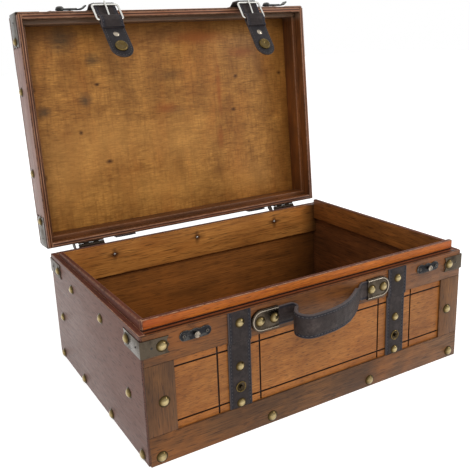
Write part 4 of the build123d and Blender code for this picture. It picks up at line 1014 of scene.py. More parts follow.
class CHEST_OT_base_boards(ChestPiece, bpy.types.Operator):
    """Base boards, frame strips, lip and back liner"""
    bl_idname = "chest.base_boards"
    bl_label = "Base Boards"

    def execute(self, context):
        woods = context.scene.chest_woods
        repaint("base_front_board", self.field(woods))
        self.planks(woods)
        self.lip(woods)
        self.back(woods)
        self.sides(woods)
        return {"FINISHED"}

    def back(self, woods):
        """Back board, dull outside and shadowed inside."""
        shadows = [(UP, 40, 0, 0.5, woods.inside_dark), (ACROSS, 120, 182, 0.85, woods.grime_and_shade)]
        inside_back = wood("inside_back_wood", **tones(woods, "inside"), seed=26, along=5.0, stain=0.3,
                           warm=(woods.warm, 0.5), borders=shadows)
        back = wood("back_wood", **tones(woods, "side"), seed=5, stain=0.5)
        board = block((-INNER_SIDE, INNER_BACK, 0), (INNER_SIDE, BACK, BASE_HEIGHT))
        piece("back_board", [board], "base", [back, inside_back], ["base_back_board"],
              choose=lambda c: c.y < INNER_BACK + SKIN)

    def field(self, woods):
        """Wood of the routed front board, stained along its margins."""
        margins = [(UP, 82, 92, 0.4, woods.warm), (UP, 44, 34, 0.4, woods.warm),
                   (ACROSS, 150, 164, 0.3, woods.warm), (ACROSS, -150, -164, 0.3, woods.warm),
                   (UP, 100, 110, 0.8, woods.edging_light)]
        # The routed grooves are darkened inside: grime with painted shade.
        return wood("field_wood", **tones(woods, "field"), seed=3, along=13.0, across=105.0, stain=0.45,
                    warm=(woods.warm, 0.3), groove=BOARD_FRONT * MM + 0.25 * MM, borders=margins)

    def planks(self, woods):
        """Bottom board, rails and the back liner with its clenched nails."""
        inside = wood("inside_wood", **tones(woods, "inside"), seed=6, along=5.0, stain=0.6,
                      warm=(woods.warm, 0.5))
        rails = wood("rail_wood", seed=1, along=8.0, borders=[(UP, 96, 112, 0.3, woods.panel_red)],
                     **frame_look(woods))
        stains = [(Vector((x, LINER_FACE, CLENCHED_Z)) * MM, Vector(size) * MM, 0.85, woods.panel_knot)
                  for x in CLENCHED_X for size in STAIN_SIZES]
        # The liner darkens towards its right end: painted shade in the tray's corner.
        liner = wood("back_liner_wood", **tones(woods, "liner"), seed=10, along=5.0, stain=0.55,
                     warm=(woods.warm, 0.6), spots=stains, borders=[(ACROSS, 158, 178, 0.85, woods.grime_and_shade)])
        planks = (
            ("bottom_board", (-INNER_SIDE, INNER_FRONT, 0), (INNER_SIDE, INNER_BACK, BOTTOM), inside,
             "base_bottom", "liner_wood"),
            ("top_rail_strip", (-FRAME_SIDE, FRONT, RAIL_BOTTOM), (FRAME_SIDE, BOARD_FRONT, BASE_HEIGHT),
             rails, "top_rail", "frame_wood"),
            ("bottom_rail_strip", (-FRAME_SIDE, FRONT, 0), (FRAME_SIDE, BOARD_FRONT, RAIL), rails,
             "bottom_rail", "frame_wood"),
            ("back_liner_strip", (-INNER_SIDE, LINER_FACE, BACK_LINER_LOW),
             (INNER_SIDE, INNER_BACK, BASE_HEIGHT), liner, "back_liner", "lip_wood"))
        for name, low, high, look, node, slot in planks:
            piece(name, [block(low, high, bevel=0.5)], "base", look, [node])

    def lip(self, woods):
        """Raised front lip, orange in front, dark behind, and painted dark at its recessed foot as painted
        shade.
        """
        reddened = [(ACROSS, -130, -184, 0.45, woods.lip_red), (ACROSS, 120, 184, 0.4, woods.lip_red)]
        orange = wood("lip_wood", **tones(woods, "lip"), seed=8, along=8.0, across=120.0, stain=0.35,
                      wear=0.7, borders=reddened)
        behind = wood("lip_edge_wood", seed=18, **edging_look(woods, 0.6))
        # Painted shade: the recessed foot is coloured dark to stand in for the shade under the lip.
        below = wood("lip_foot_shade_wood", woods.edging_dark, woods.grime_and_shade, woods.grime_and_shade, seed=28, gloss=0.6)
        foot = block((-INNER_SIDE, INNER_FRONT + LIP_RECESS, LIP_LOW),
                     (INNER_SIDE, LIP_BACK, LIP_FOOT + 0.4), bevel=0.3)
        rail = block((-INNER_SIDE, INNER_FRONT, LIP_FOOT), (INNER_SIDE, LIP_BACK, FRONT_LIP_TOP), bevel=1.0,
                     segments=3)
        piece("front_lip_strip", [foot, rail], "base", [orange, behind, below], ["front_lip"],
              choose=lambda c: 2 if c.z < LIP_FOOT + SKIN else c.y > INNER_FRONT + EDGE_SKIN)

    def sides(self, woods):
        """Stile, side board and sloping lip on the left and on the right."""
        stiles = wood("stile_wood", axis="Z", seed=2, borders=[(ACROSS, -140, -160, 0.3, woods.frame_dark)],
                      **frame_look(woods))
        boards = [wood("side_wood", **tones(woods, "side"), axis="Y", seed=4, along=9.0, across=60.0),
                  wood("inside_side_wood", **tones(woods, "strip"), axis="Y", seed=7, stain=0.6),
                  wood("ledge_wood", axis="Y", seed=27, **edging_look(woods, 0.7))]
        lips = [wood("side_lip_wood", axis="Y", seed=9, **edging_look(woods, 0.22)),
                wood("side_lip_inner_wood", **tones(woods, "inside"), axis="Y", seed=19, stain=0.5)]
        for word, side in SIDES.items():
            stile = mirrored((FRAME_SIDE - STILE_WIDTH, FRONT, RAIL), (FRAME_SIDE, BOARD_FRONT, RAIL_BOTTOM),
                             side)
            piece(f"{word}_stile_strip", [block(*stile, bevel=0.4)], "base", stiles, [f"{word}_stile"])
            board = mirrored((INNER_SIDE, BOARD_FRONT, 0), (HALF, BACK, BASE_HEIGHT), side)
            piece(f"{word}_side_board", [block(*board, bevel=0.8)], "base", boards, [f"base_{word}_board"],
                  choose=lambda c: 2 if c.z > BASE_HEIGHT - EDGE_SKIN else abs(c.x) < INNER_SIDE + SKIN)
            strip = mirrored((INNER_SIDE - LINER, LIP_BACK, LIP_LOW), (INNER_SIDE, LINER_FACE, SIDE_LIP_TOP),
                             side)
            shape = block(*strip, bevel=1.2, segments=3)
            for vertex in shape.verts:
                if vertex.co.z > BASE_HEIGHT:
                    vertex.co.z -= SIDE_LIP_FALL[word] * (vertex.co.y - LIP_BACK) / (LINER_FACE - LIP_BACK)
            piece(f"{word}_lip_strip", [shape], "base", lips, [f"{word}_lip"],
                  choose=lambda c: abs(c.x) < INNER_SIDE - LINER + EDGE_SKIN)


def frame_look(woods):
    """Worn wood of rails and stiles."""
    return {**tones(woods, "frame"), "across": 95.0, "stain": 0.7, "warm": (woods.warm, 0.32), "wear": 0.9}


def edging_look(woods, wear):
    """Dull wood of the upper edges, with a pale painted highlight on them."""
    return {**tones(woods, "edging"), "across": 120.0, "stain": 0.5, "edge": woods.pale_ply_and_edge_highlight, "wear": wear,
            "gloss": 0.62}


class CHEST_OT_lid_boards(ChestPiece, bpy.types.Operator):
    """Lid boards, plywood panel and inner strips"""
    bl_idname = "chest.lid_boards"
    bl_label = "Lid Boards"

    def execute(self, context):
        woods = context.scene.chest_woods
        # The pale edge colour of rim and strips is a painted highlight.
        pale_ply_and_edge_highlight = {"along": 4.0, "across": 150.0, "edge": woods.pale_ply_and_edge_highlight, "stain": 0.6,
                  "warm": (woods.warm, 0.3)}
        rim_look = {**tones(woods, "rim"), **pale_ply_and_edge_highlight, "wear": 0.42}
        strip_look = {**tones(woods, "strip"), **pale_ply_and_edge_highlight, "wear": 0.2,
                      "borders": [(UP, 374, 380, 0.65, woods.weathered)]}
        outer = wood("lid_outer_wood", **tones(woods, "side"), seed=11, along=5.0, stain=0.5)
        # The lid's outer sides take a lighter copy of the side wood: painted light.
        outer_side = wood("lit_lid_side_wood", **tones(woods, "lit_lid_side"), axis="LID", seed=12, stain=0.4)
        rim = wood("lid_rim_wood", seed=13, plies=(UP, 2.9, woods.pale_ply_and_edge_highlight), **rim_look)
        rim_side = wood("lid_rim_side_wood", axis="LID", seed=14, plies=(ACROSS, 2.6, woods.pale_ply_and_edge_highlight),
                        **rim_look)
        front_wood = wood("lid_front_wood", seed=20, along=8.0, **frame_look(woods))
        strips = wood("lid_strip_wood", seed=16, **strip_look)
        strips_side = wood("lid_strip_side_wood", axis="LID", seed=17, **strip_look)

        def cut(centre):
            """Whether a face belongs to the rim, where the plies show."""
            return centre.z < RIM + CUT_SKIN

        top = block((-HALF, BOARD_FRONT, CEILING), (HALF, BACK, TOP), bevel=0.3, top=LID_ROUNDING)
        piece("lid_top_board", [top], "lid", [outer, self.panel(woods)], ["lid_top_panel"],
              OPENED, choose=lambda c: c.z < CEILING + PANEL_SKIN)
        trim = block((-FRAME_SIDE, FRONT, RIM), (FRAME_SIDE, BOARD_FRONT, TRIM_TOP), bevel=0.6)
        piece("lid_front_strip", [trim], "lid", [front_wood, rim], ["lid_front_trim"], OPENED,
              choose=cut)
        front = block((-LID_SIDE_INNER, BOARD_FRONT, RIM), (LID_SIDE_INNER, LID_FRONT_INNER, CEILING))
        piece("lid_front_plank", [front], "lid", [strips, rim], ["lid_front_board"], OPENED,
              choose=cut)
        back = block((-LID_SIDE_INNER, INNER_BACK, RIM), (LID_SIDE_INNER, BACK, CEILING))
        piece("lid_back_plank", [back], "lid", [outer, rim, strips], ["lid_back_board"], OPENED,
              choose=lambda c: 1 if cut(c) else 2 * (c.y < INNER_BACK + EDGE_SKIN))
        for word, side in SIDES.items():
            board = mirrored((LID_SIDE_INNER, BOARD_FRONT, RIM), (HALF, BACK, CEILING), side)
            piece(f"lid_{word}_plank", [block(*board, bevel=0.8)], "lid", [outer_side, rim_side, strips_side],
                  [f"lid_{word}_board"], OPENED,
                  choose=lambda c: 1 if cut(c) else 2 * (abs(c.x) < LID_SIDE_INNER + EDGE_SKIN))
        self.liners(strips, strips_side)
        return {"FINISHED"}

    def panel(self, woods):
        """Plywood of the lid's inside, with its knots, smudges and streaks."""
        kinds = {"knot": (0.9, woods.panel_knot), "dark": (0.5, woods.panel_dark),
                 "pale": (0.3, woods.panel_pale), "warm": (0.75, woods.panel_red),
                 "smudge": (0.7, woods.smudge), "faint": (0.3, woods.smudge)}
        marks = [(OPENED @ Vector((x, y, CEILING)) * MM, (wide * MM, high * MM, high * MM), *kinds[kind])
                 for kind, x, y, wide, high in PANEL_MARKS]
        edges = [(ACROSS, 160, 186, 0.6, woods.panel_dark), (ACROSS, -168, -186, 0.5, woods.warm),
                 (UP, 362, 384, 0.7, woods.panel_dark)]
        return wood("lid_panel_wood", **tones(woods, "panel"), seed=15, along=18.0, across=80.0, waviness=9.0,
                    stain=0.5, warm=(woods.warm, 0.35), spots=marks, borders=edges, hatch=(260.0, 0.0, 40.0),
                    pores=0.3)

    def liners(self, strips, strips_side):
        """Strips round the inside of the lid, two long and two short."""
        front, back = LID_FRONT_INNER + LINER, LINER_FACE
        long = [block((-LID_SIDE_INNER, near, LID_LINER_LOW), (LID_SIDE_INNER, far, CEILING), bevel=1.0)
                for near, far in ((LID_FRONT_INNER, front), (back, INNER_BACK))]
        piece("lid_long_liners", long, "lid", strips, ["lid_liners"], OPENED)
        low, high = (LID_SIDE_INNER - LINER, front, LID_LINER_LOW), (LID_SIDE_INNER, back, CEILING)
        short = [block(*mirrored(low, high, side), bevel=1.0) for side in SIDES.values()]
        piece("lid_side_liners", short, "lid", strips_side, ["lid_liners"], OPENED)


class CHEST_OT_brackets(ChestPiece, bpy.types.Operator):
    """Folded corner brackets of base and lid"""
    bl_idname = "chest.brackets"
    bl_label = "Corner Brackets"

    def execute(self, context):
        metals = context.scene.chest_metals
        looks = {"base": metal("bracket_bronze", metals.bronze, metals.bronze_dark, cover=0.4, scale=80.0),
                 "lid": metal("lid_bracket_metal", metals.lid_bracket, metals.bronze, cover=0.44, scale=55.0)}
        for body, place in (("base", CLOSED), ("lid", OPENED)):
            shapes = [self.bracket(side, face, out, BRACKET_Z[body], BRACKET_HEIGHT[body])
                      for side in SIDES.values() for face, out in ((FRONT, -1), (BACK, 1))]
            piece(f"{body}_corner_brackets", shapes, body, looks[body], [f"{body}_brackets"],
                  place)
        return {"FINISHED"}

    def bracket(self, side, face, out, level, height):
        """Bracket that folds round one corner, drawn flat and bent."""
        middle = BRACKET / 2
        corners = [(HALF - BRACKET_FRONT, middle), (HALF + middle, middle), (HALF + middle, -BRACKET_SIDE)]
        line = rounded(corners, [BRACKET_BEND])
        flat = sheet(scalloped(0, stations(line)[-1], height), BRACKET, bevel=0.28)
        return wrapped(flat, line, lambda point, across: Vector(
            (side * point.x, face + out * point.y, level + across)))


class CHEST_OT_nails(ChestPiece, bpy.types.Operator):
    """Dome nails, screws and pins"""
    bl_idname = "chest.nails"
    bl_label = "Nails and Screws"

    def execute(self, context):
        metals = context.scene.chest_metals
        # Dome nails: a painted highlight on the crowns, and tarnish with painted shade at the feet.
        brass = metal("nail_brass", metals.brass, metals.brass_tarnish_and_shade, cover=0.42, scale=240.0,
                      crown=metals.brass_dull, rough=(0.16, 0.4))
        steel = metal("screw_steel", metals.steel, metals.pewter_dark, cover=0.55, scale=400.0,
                      crown=metals.pewter_dark)
        bare = metal("bare_nail_steel", metals.nickel, metals.nickel_dark, cover=0.4, scale=400.0)
        large, lid_large, pins, lid_pins = self.board_nails()
        small, lid_small = self.strap_nails()
        screws, lid_screws = self.plate_screws()
        clenched = [((x, LINER_FACE, CLENCHED_Z), TO_FRONT) for x in CLENCHED_X]
        jobs = (
            ("large_nails", large, dome(*LARGE_DOME), "base", brass, "base_studs", "stud_brass"),
            ("lid_large_nails", lid_large, dome(*LARGE_DOME), "lid", brass, "lid_studs", "stud_brass"),
            ("clenched_nails", clenched, dome(*CLENCHED_DOME), "base", bare, "base_pins", "screw_steel"),
            ("strap_nails", small, dome(*STRAP_DOME), "base", brass, "base_strap_nails", "stud_brass"),
            ("lid_strap_domes", lid_small, dome(*LID_STRAP_DOME), "lid", brass, "lid_strap_nails",
             "stud_brass"),
            ("bracket_pins", pins, dome(*PIN_DOME), "base", steel, "base_pins", "screw_steel"),
            ("lid_bracket_pins", lid_pins, dome(*PIN_DOME), "lid", steel, "lid_screws", "screw_steel"),
            ("plate_screws", screws, lathe(SCREW, 16), "base", steel, "base_screws", "screw_steel"),
            ("lid_plate_screws", lid_screws, lathe(SCREW, 16), "lid", steel, "lid_screws", "screw_steel"))
        for name, spots, shape, body, look, node, slot in jobs:
            places = [facing(Vector(point), heading) for point, heading in spots]
            place = CLOSED if body == "base" else OPENED
            piece(name, [copies(shape, places)], body, look, [node], place, sharp=50)
        return {"FINISHED"}

    def board_nails(self):
        """Large nails of base and lid, then the bracket pins of base and lid, as points and headings."""
        large = [((share * WIDTH, FRONT, FOOT_NAIL_Z), TO_FRONT) for share in FRONT_NAILS]
        lid_large, pins, lid_pins = [], [], []
        base_z, lid_z = BRACKET_Z["base"], BRACKET_Z["lid"]
        for side in SIDES.values():
            out, cheek = (side, 0, 0), side * (HALF + BRACKET)
            large.append(((side * STILE_NAIL_X, FRONT, STILE_NAIL_Z), TO_FRONT))
            large += [((side * HALF, share * DEPTH, z), out) for z, shares in SIDE_NAILS for share in shares]
            lid_large += [((side * HALF, share * DEPTH, LID_SIDE_NAIL_Z), out) for share in LID_SIDE_NAILS]
            lid_large += [((side * LID_TOP_NAIL_X, share * DEPTH, TOP), UP) for share in LID_TOP_NAILS]
            for face, heading in ((FRONT, TO_FRONT), (BACK, TO_BACK)):
                outer, inward = face + heading[1] * BRACKET, -heading[1]
                nail, pin = face + inward * BRACKET_NAIL_IN, face + inward * BRACKET_PIN_IN
                large += [((cheek, nail, base_z), out), ((side * BRACKET_NAIL_X, outer, base_z), heading)]
                lid_large.append(((cheek, nail, lid_z), out))
                for level, found in ((base_z, pins), (lid_z, lid_pins)):
                    found += [((side * BRACKET_PIN_X, outer, level), heading), ((cheek, pin, level), out)]
        return large, lid_large, pins, lid_pins

    def strap_nails(self):
        """Small nails that hold the straps of base and lid."""
        small = [((side * STRAP_X, y, z), TO_FRONT) for side in SIDES.values() for y, z in STRAP_NAILS]
        lid_small = []
        for x in [side * STRAP_X for side in SIDES.values()]:
            lid_small += [((x, STRAP_FACE, LID_STRAP_NAIL_Z), TO_FRONT),
                          ((x, BACK + STRAP_THICK, LID_STRAP_NAIL_Z), TO_BACK)]
            lid_small += [((x, share * DEPTH, TOP + STRAP_THICK), UP) for share in LID_STRAP_NAILS]
        return small, lid_small

    def plate_screws(self):
        """Screws of catches, latches and hinge leaves."""
        screws = [((side * LATCH_X + step, CATCH_FACE, CATCH_Z), TO_FRONT) for side in SIDES.values()
                  for step in (-CATCH_SCREW, CATCH_SCREW)]
        lid_screws = [((x, y, LATCH_Z), heading) for (x, y, _), heading in screws]
        for side in SIDES.values():
            for step in (-HINGE_SCREW_X, HINGE_SCREW_X):
                for found, rise in ((screws, -HINGE_SCREW_Z), (lid_screws, HINGE_SCREW_Z)):
                    found.append(((side * LATCH_X + step, BACK + HINGE_LEAF, HINGE.z + rise), TO_BACK))
        return screws, lid_screws


def folded(word, co):
    """Point of the closed strap, turned at the fold as far as it lies below it."""
    share = eased((FLAP_HEM + FOLD_REACH - co.z) / (2 * FOLD_REACH))
    angle = FLAP_REST[word] * share if co.y < FOLD_FRONT else 0.0
    return OPENED @ turned(FOLD, angle) @ co


class CHEST_OT_straps(ChestPiece, bpy.types.Operator):
    """Stitched straps of base and lid, folded at the lid's rim, and the posts of the press studs"""
    bl_idname = "chest.straps"
    bl_label = "Straps"

    def execute(self, context):
        leathers, metals = context.scene.chest_leathers, context.scene.chest_metals
        hide = leather("strap_leather", leathers.strap, leathers.worn, rub=0.3, wear=0.3,
                       rim=leathers.strap_rim)
        looks = hide, thread("strap_thread", leathers)
        for word, side in SIDES.items():
            x = side * STRAP_X
            self.strap(f"{word}_base_strap", base_strap_line(), x, BASE_STRAP_HALF, looks, leathers, "base",
                       [f"{word}_base_strap"])
            both = self.strap(f"{word}_lid_strap", strap_line(), x, LID_STRAP_HALF, looks, leathers, None,
                              [f"{word}_lid_strap", f"{word}_flap_tail"])
            hang = -FOLD_REACH * cos(radians(FLAP_REST[word]))
            start, end = [OPENED @ Vector((x, FLAP_Y, FLAP_HEM + rise)) * MM for rise in (FOLD_REACH, hang)]
            for made in both:
                for vertex in made.data.vertices:
                    vertex.co = folded(word, vertex.co / MM) * MM
                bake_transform(made, "lid", f"{word}_flap", start=start, end=end)
        self.posts(metals)
        return {"FINISHED"}

    def strap(self, name, line, x, half, looks, leathers, body, nodes):
        """Strap along a line at one place across the chest, and the stitches of its two seams."""
        space, shape = straps_space(x), profile(half, STRAP_THICK, leathers, STRAP_PAD)
        strap = piece(f"{name}_leather", [band(line, space, lambda step: shape)], body, looks[0], nodes,
                      sharp=50)
        inset, stop = half - leathers.margin / MM, stations(line)[-1] - SEAM_END
        places = []
        for row in (-inset, inset):
            places += sewn(line, space, lambda point: row, STITCH_RISE, SEAM_END, stop, leathers)
        seams = piece(f"{name}_stitching", [stitches(leathers, places)], body, looks[1], (),
                      sharp=60)
        return strap, seams

    def posts(self, metals):
        """Press stud posts on the base, under the flaps' caps."""
        brass = metal("socket_brass", metals.brass_dull, metals.brass_tarnish_and_shade, cover=0.3, scale=120.0)
        dull = metal("socket_inside_brass", metals.bronze, metals.brass_tarnish_and_shade, cover=0.6, scale=200.0)
        spots = [facing(Vector((side * STRAP_X, FRONT, SNAP_Z)), TO_FRONT) for side in SIDES.values()]
        piece("press_stud_posts", [copies(lathe(SNAP_POST), spots)], "base", [brass, dull], ["snap_sockets"],
              choose=lambda c: hypot(abs(c.x) - STRAP_X, c.z - SNAP_Z) < SNAP_INSIDE)


class CHEST_OT_flaps(ChestPiece, bpy.types.Operator):
    """Flaps with buckle, rivet, press stud and stitching"""
    bl_idname = "chest.flaps"
    bl_label = "Flaps"

    def execute(self, context):
        leathers, metals = context.scene.chest_leathers, context.scene.chest_metals
        hide = leather("flap_leather", leathers.flap, leathers.worn, rub=0.15, wear=0.5)
        sewing = thread("flap_thread", leathers)
        brass = metal("flap_brass", metals.brass_dull, metals.brass_tarnish_and_shade, cover=0.45, scale=240.0,
                      crown=metals.brass_dull)
        pale = metal("rivet_pale_brass", metals.bead, metals.brass_dull, cover=0.3, scale=240.0,
                     rough=(0.24, 0.4))
        nickel = metal("buckle_nickel", metals.nickel, metals.nickel_dark, cover=0.3, scale=300.0,
                       rough=(0.16, 0.34))
        half, centre = LID_STRAP_HALF, TONGUE_LOW + LID_STRAP_HALF
        inset = half - leathers.margin / MM
        low, end = centre - inset, TAIL_END - 1
        seam = rounded([(-inset, end), (-inset, low), (inset, low), (inset, end)], [inset - ROUND_GAP] * 2)
        tip = [(half * cos(a), centre + half * sin(a)) for a in [radians(180 + 12 * i) for i in range(16)]]
        outline = [*tip, (half, TONGUE_TOP), (-half, TONGUE_TOP)]
        for word, side in SIDES.items():
            x, body, place = side * STRAP_X, f"{word}_flap", HANGING[word]
            across = Matrix.Translation((x, 0, 0))
            flat = sheet(outline, STRAP_THICK, bevel=leathers.rounding / MM)
            tongue = moved(flat, upright((x, FLAP_Y, 0)))
            piece(f"{body}_tongue_leather", [tongue], body, hide, [f"{body}_tongue"], place,
                  sharp=50)
            row = moved(stitches(leathers, sewn_flat(seam, FLAP_FACE + 0.05, leathers)), across)
            piece(f"{body}_stitching", [row], body, sewing, (), place, sharp=60)
            piece(f"{word}_buckle_frame", self.buckle(x, across), body, nickel, [f"{word}_buckle"],
                  place, sharp=50)
            rivet = moved(dome(*FLAP_DOME), facing((x, FLAP_FACE, FLAP_RIVET_Z), TO_FRONT))
            piece(f"{body}_small_rivet", [rivet], body, pale, (), place, sharp=40)
            studs = [moved(lathe(SNAP_CAP, 36), facing((x, FLAP_FACE, SNAP_Z), TO_FRONT)),
                     moved(lathe(SNAP_CUP, 28), facing((x, FLAP_BACK, SNAP_Z), TO_BACK))]
            piece(f"{body}_press_stud", studs, body, brass, [f"{body}_studs"], place, sharp=40)
        return {"FINISHED"}

    def buckle(self, x, across):
        """Wire frame of a buckle, and the prong that rests on it."""
        half, top, low, rest = BUCKLE_HALF, BUCKLE_TOP, BUCKLE_BOTTOM, BUCKLE_Y - PRONG_OUT
        loop = [(0, top), (half, top), (half, low), (-half, low), (-half, top), (0, top)]
        pin = rounded([(BUCKLE_Y, low + 1.5), (rest, top - BUCKLE_WIRE), (rest, top + PRONG_PAST)], [1.6])
        bar = plain_profile(PRONG_WIDTH, PRONG_THICK)
        prong = band(pin, straps_space(x), lambda step: bar, pitch=1.0)
        return [moved(wire(rounded(loop, [3.0] * 4), BUCKLE_WIRE, BUCKLE_Y), across), prong]


class CHEST_OT_catches(ChestPiece, bpy.types.Operator):
    """Catch plates with their knobs, and hook latches on the lid"""
    bl_idname = "chest.catches"
    bl_label = "Catches"

    def execute(self, context):
        metals = context.scene.chest_metals
        pewter, dark = metals.pewter, metals.pewter_dark
        plate_look = metal("catch_pewter", pewter, dark, cover=0.62, scale=90.0, wear=1.0)
        knob_look = metal("knob_brass", metals.bead, dark, cover=0.45, scale=300.0)
        hook_look = metal("hook_pewter", pewter, dark, cover=0.56, scale=200.0, wear=1.0)
        rivet_look = metal("rivet_pewter", pewter, dark, cover=0.5, scale=300.0, crown=pewter)
        latches, rivets = [], []
        for word, side in SIDES.items():
            x = side * LATCH_X
            knob = moved(lathe(KNOB, 24), facing((x, CATCH_FACE, CATCH_Z), TO_FRONT))
            piece(f"{word}_catch", [self.plate(x, CATCH_Z), knob], "base", [plate_look, knob_look],
                  [f"{word}_catch_plate"], choose=lambda c: c.y < CATCH_FACE - KNOB_NECK)
            latches.append(self.plate(x, LATCH_Z))
            rivets.append(moved(lathe(PIVOT, 28), facing((x, CATCH_FACE, LATCH_Z), TO_FRONT)))
            repaint(f"{word}_latch_hook", hook_look, bevel=0.25)
        piece("latch_back_plates", latches, "lid", plate_look, ["latch_plates"], OPENED)
        piece("latch_pivots", rivets, "lid", rivet_look, ["latch_rivets"], OPENED, sharp=40)
        return {"FINISHED"}

    def plate(self, x, level):
        flat = sheet(oval(CATCH_LONG, CATCH_HIGH), CATCH_THICK, bevel=0.3)
        return moved(flat, upright((x, FRONT - CATCH_THICK / 2, level)))


class CHEST_OT_handle(ChestPiece, bpy.types.Operator):
    """Bowed leather handle with its plates and rivets"""
    bl_idname = "chest.handle"
    bl_label = "Handle"

    def execute(self, context):
        self.grip(context.scene.chest_leathers)
        self.plates(context.scene.chest_metals)
        return {"FINISHED"}

    def grip(self, leathers):
        """Leather and stitches, which bend between the base and the handle's own body."""
        hide = leather("grip_leather", leathers.grip, leathers.worn, rub=0.5, wear=0.4,
                       rim=leathers.strap_rim)
        line = rounded(HANDLE_CORNERS, HANDLE_BENDS)
        marks = stations(line)
        left, right = crossings(line, marks, GRIP_OUT)

        def section(step):
            """Flat tab, narrow neck and padded grip, one after another along the leather."""
            into = min(step - left, right - step)
            neck = min(max((into + NECK_START) / NECK_RUN, 0.0), 1.0)
            full = eased(into / FLARE_RUN)
            half = TAB_HALF - NECK_LOSS * neck + GRIP_GAIN * full
            return profile(half, TAB_THICK + GRIP_THICKER * full, leathers, GRIP_PAD * full)

        grip = piece("handle_leather", [band(line, grip_space, section, pitch=1.5)], None, hide,
                     ["handle_grip", "left_handle_tab", "right_handle_tab"], sharp=50)
        first, last = left + GRIP_SEAM_END, right - GRIP_SEAM_END
        rows = []
        for way in (-1, 1):
            def beside(point):
                """Distance of the seam from the middle, which follows the leather's width."""
                nearest = min(range(len(line)), key=lambda i: (line[i][0] - point).length)
                return way * (max(a for a, _ in section(marks[nearest])) - leathers.margin / MM)
            rows += sewn(line, grip_space, beside, GRIP_STITCH_RISE, first, last, leathers)
        sewing = thread("grip_thread", leathers)
        seams = piece("handle_stitching", [stitches(leathers, rows)], None, sewing, (),
                      sharp=60)
        start, end = [(0.0, (FRONT - out) * MM, PLATE_Z * MM) for out in (2.0, GRIP_OUT + 1.0)]
        for made in (grip, seams):
            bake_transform(made, "base", "handle", start=start, end=end)

    def plates(self, metals):
        """Plates over the tabs, each a face with a wall round three sides, a ridge and a bead."""
        bronze = metal("plate_bronze", metals.bronze, metals.bronze_dark, cover=0.4, scale=90.0)
        bead_look = metal("bead_bronze", metals.bead, metals.bronze_dark, cover=0.28, scale=220.0)
        # Rivet domes: a painted highlight on the crowns, and tarnish with painted shade at the feet.
        rivet_look = metal("handle_rivet_brass", metals.brass, metals.brass_tarnish_and_shade, cover=0.45, scale=260.0,
                           crown=metals.brass_dull)

        def course(inset):
            """Line round three sides of a plate, from its inner end and back to it."""
            start, reach, rise = PLATE_INNER, PLATE_OUTER - inset, PLATE_HALF - inset
            low, high = PLATE_Z - rise, PLATE_Z + rise
            return rounded([(start, high), (reach, high), (reach, low), (start, low)], [rise - ROUND_GAP] * 2)

        def wall_space(point, across):
            """Line of width and height, with the band's width out of the front."""
            return Vector((point.x, FRONT - WALL_OUT / 2 + across, point.y))

        edge = plain_profile(WALL_OUT, PLATE_THICK, round_off=0.1)
        outline = [(point.x, point.y - PLATE_Z) for point, _ in course(0)]
        for word, side in SIDES.items():
            flat = sheet(outline, PLATE_THICK, bevel=0.25)
            face = moved(flat, upright((0, PLATE_FACE + PLATE_THICK / 2, PLATE_Z)))
            wall = band(course(PLATE_THICK / 2), wall_space, lambda step: edge, pitch=3.0)
            bead = wire(course(BEAD_IN), BEAD_WIRE, PLATE_FACE, closed=False)
            ridge = wire(course(RIDGE_IN), RIDGE_WIRE, PLATE_FACE, closed=False)
            for shape in (face, wall, bead, ridge):
                moved(shape, Matrix.Diagonal((side, 1, 1, 1)))
                bmesh.ops.recalc_face_normals(shape, faces=shape.faces)
            piece(f"{word}_handle_cover", [face, wall, ridge], "base", bronze, [f"{word}_handle_plate"])
            piece(f"{word}_handle_bead", [bead], "base", bead_look, (), sharp=60)
        spots = [facing((side * x, PLATE_FACE, PLATE_Z), TO_FRONT) for side in SIDES.values()
                 for x in HANDLE_RIVETS]
        domes = copies(dome(*HANDLE_DOME), spots)
        piece("handle_rivet_domes", [domes], "base", rivet_look, ["handle_rivets"], sharp=50)


class CHEST_OT_hinges(ChestPiece, bpy.types.Operator):
    """Worn black lacquer on the stop hinges"""
    bl_idname = "chest.hinges"
    bl_label = "Hinges"

    def execute(self, context):
        metals = context.scene.chest_metals
        lacquer = metal("hinge_lacquer", metals.lacquer_worn, metals.lacquer, cover=0.85, scale=200.0,
                        rough=(0.34, 0.5))
        steel = metal("hinge_pin_steel", metals.steel, metals.pewter_dark, cover=0.5, scale=400.0)
        for word in SIDES:
            for leaf in ("base", "lid"):
                repaint(f"{word}_hinge_{leaf}_leaf", lacquer, bevel=0.2)
        repaint("hinge_pins", steel, bevel=0.15)
        return {"FINISHED"}


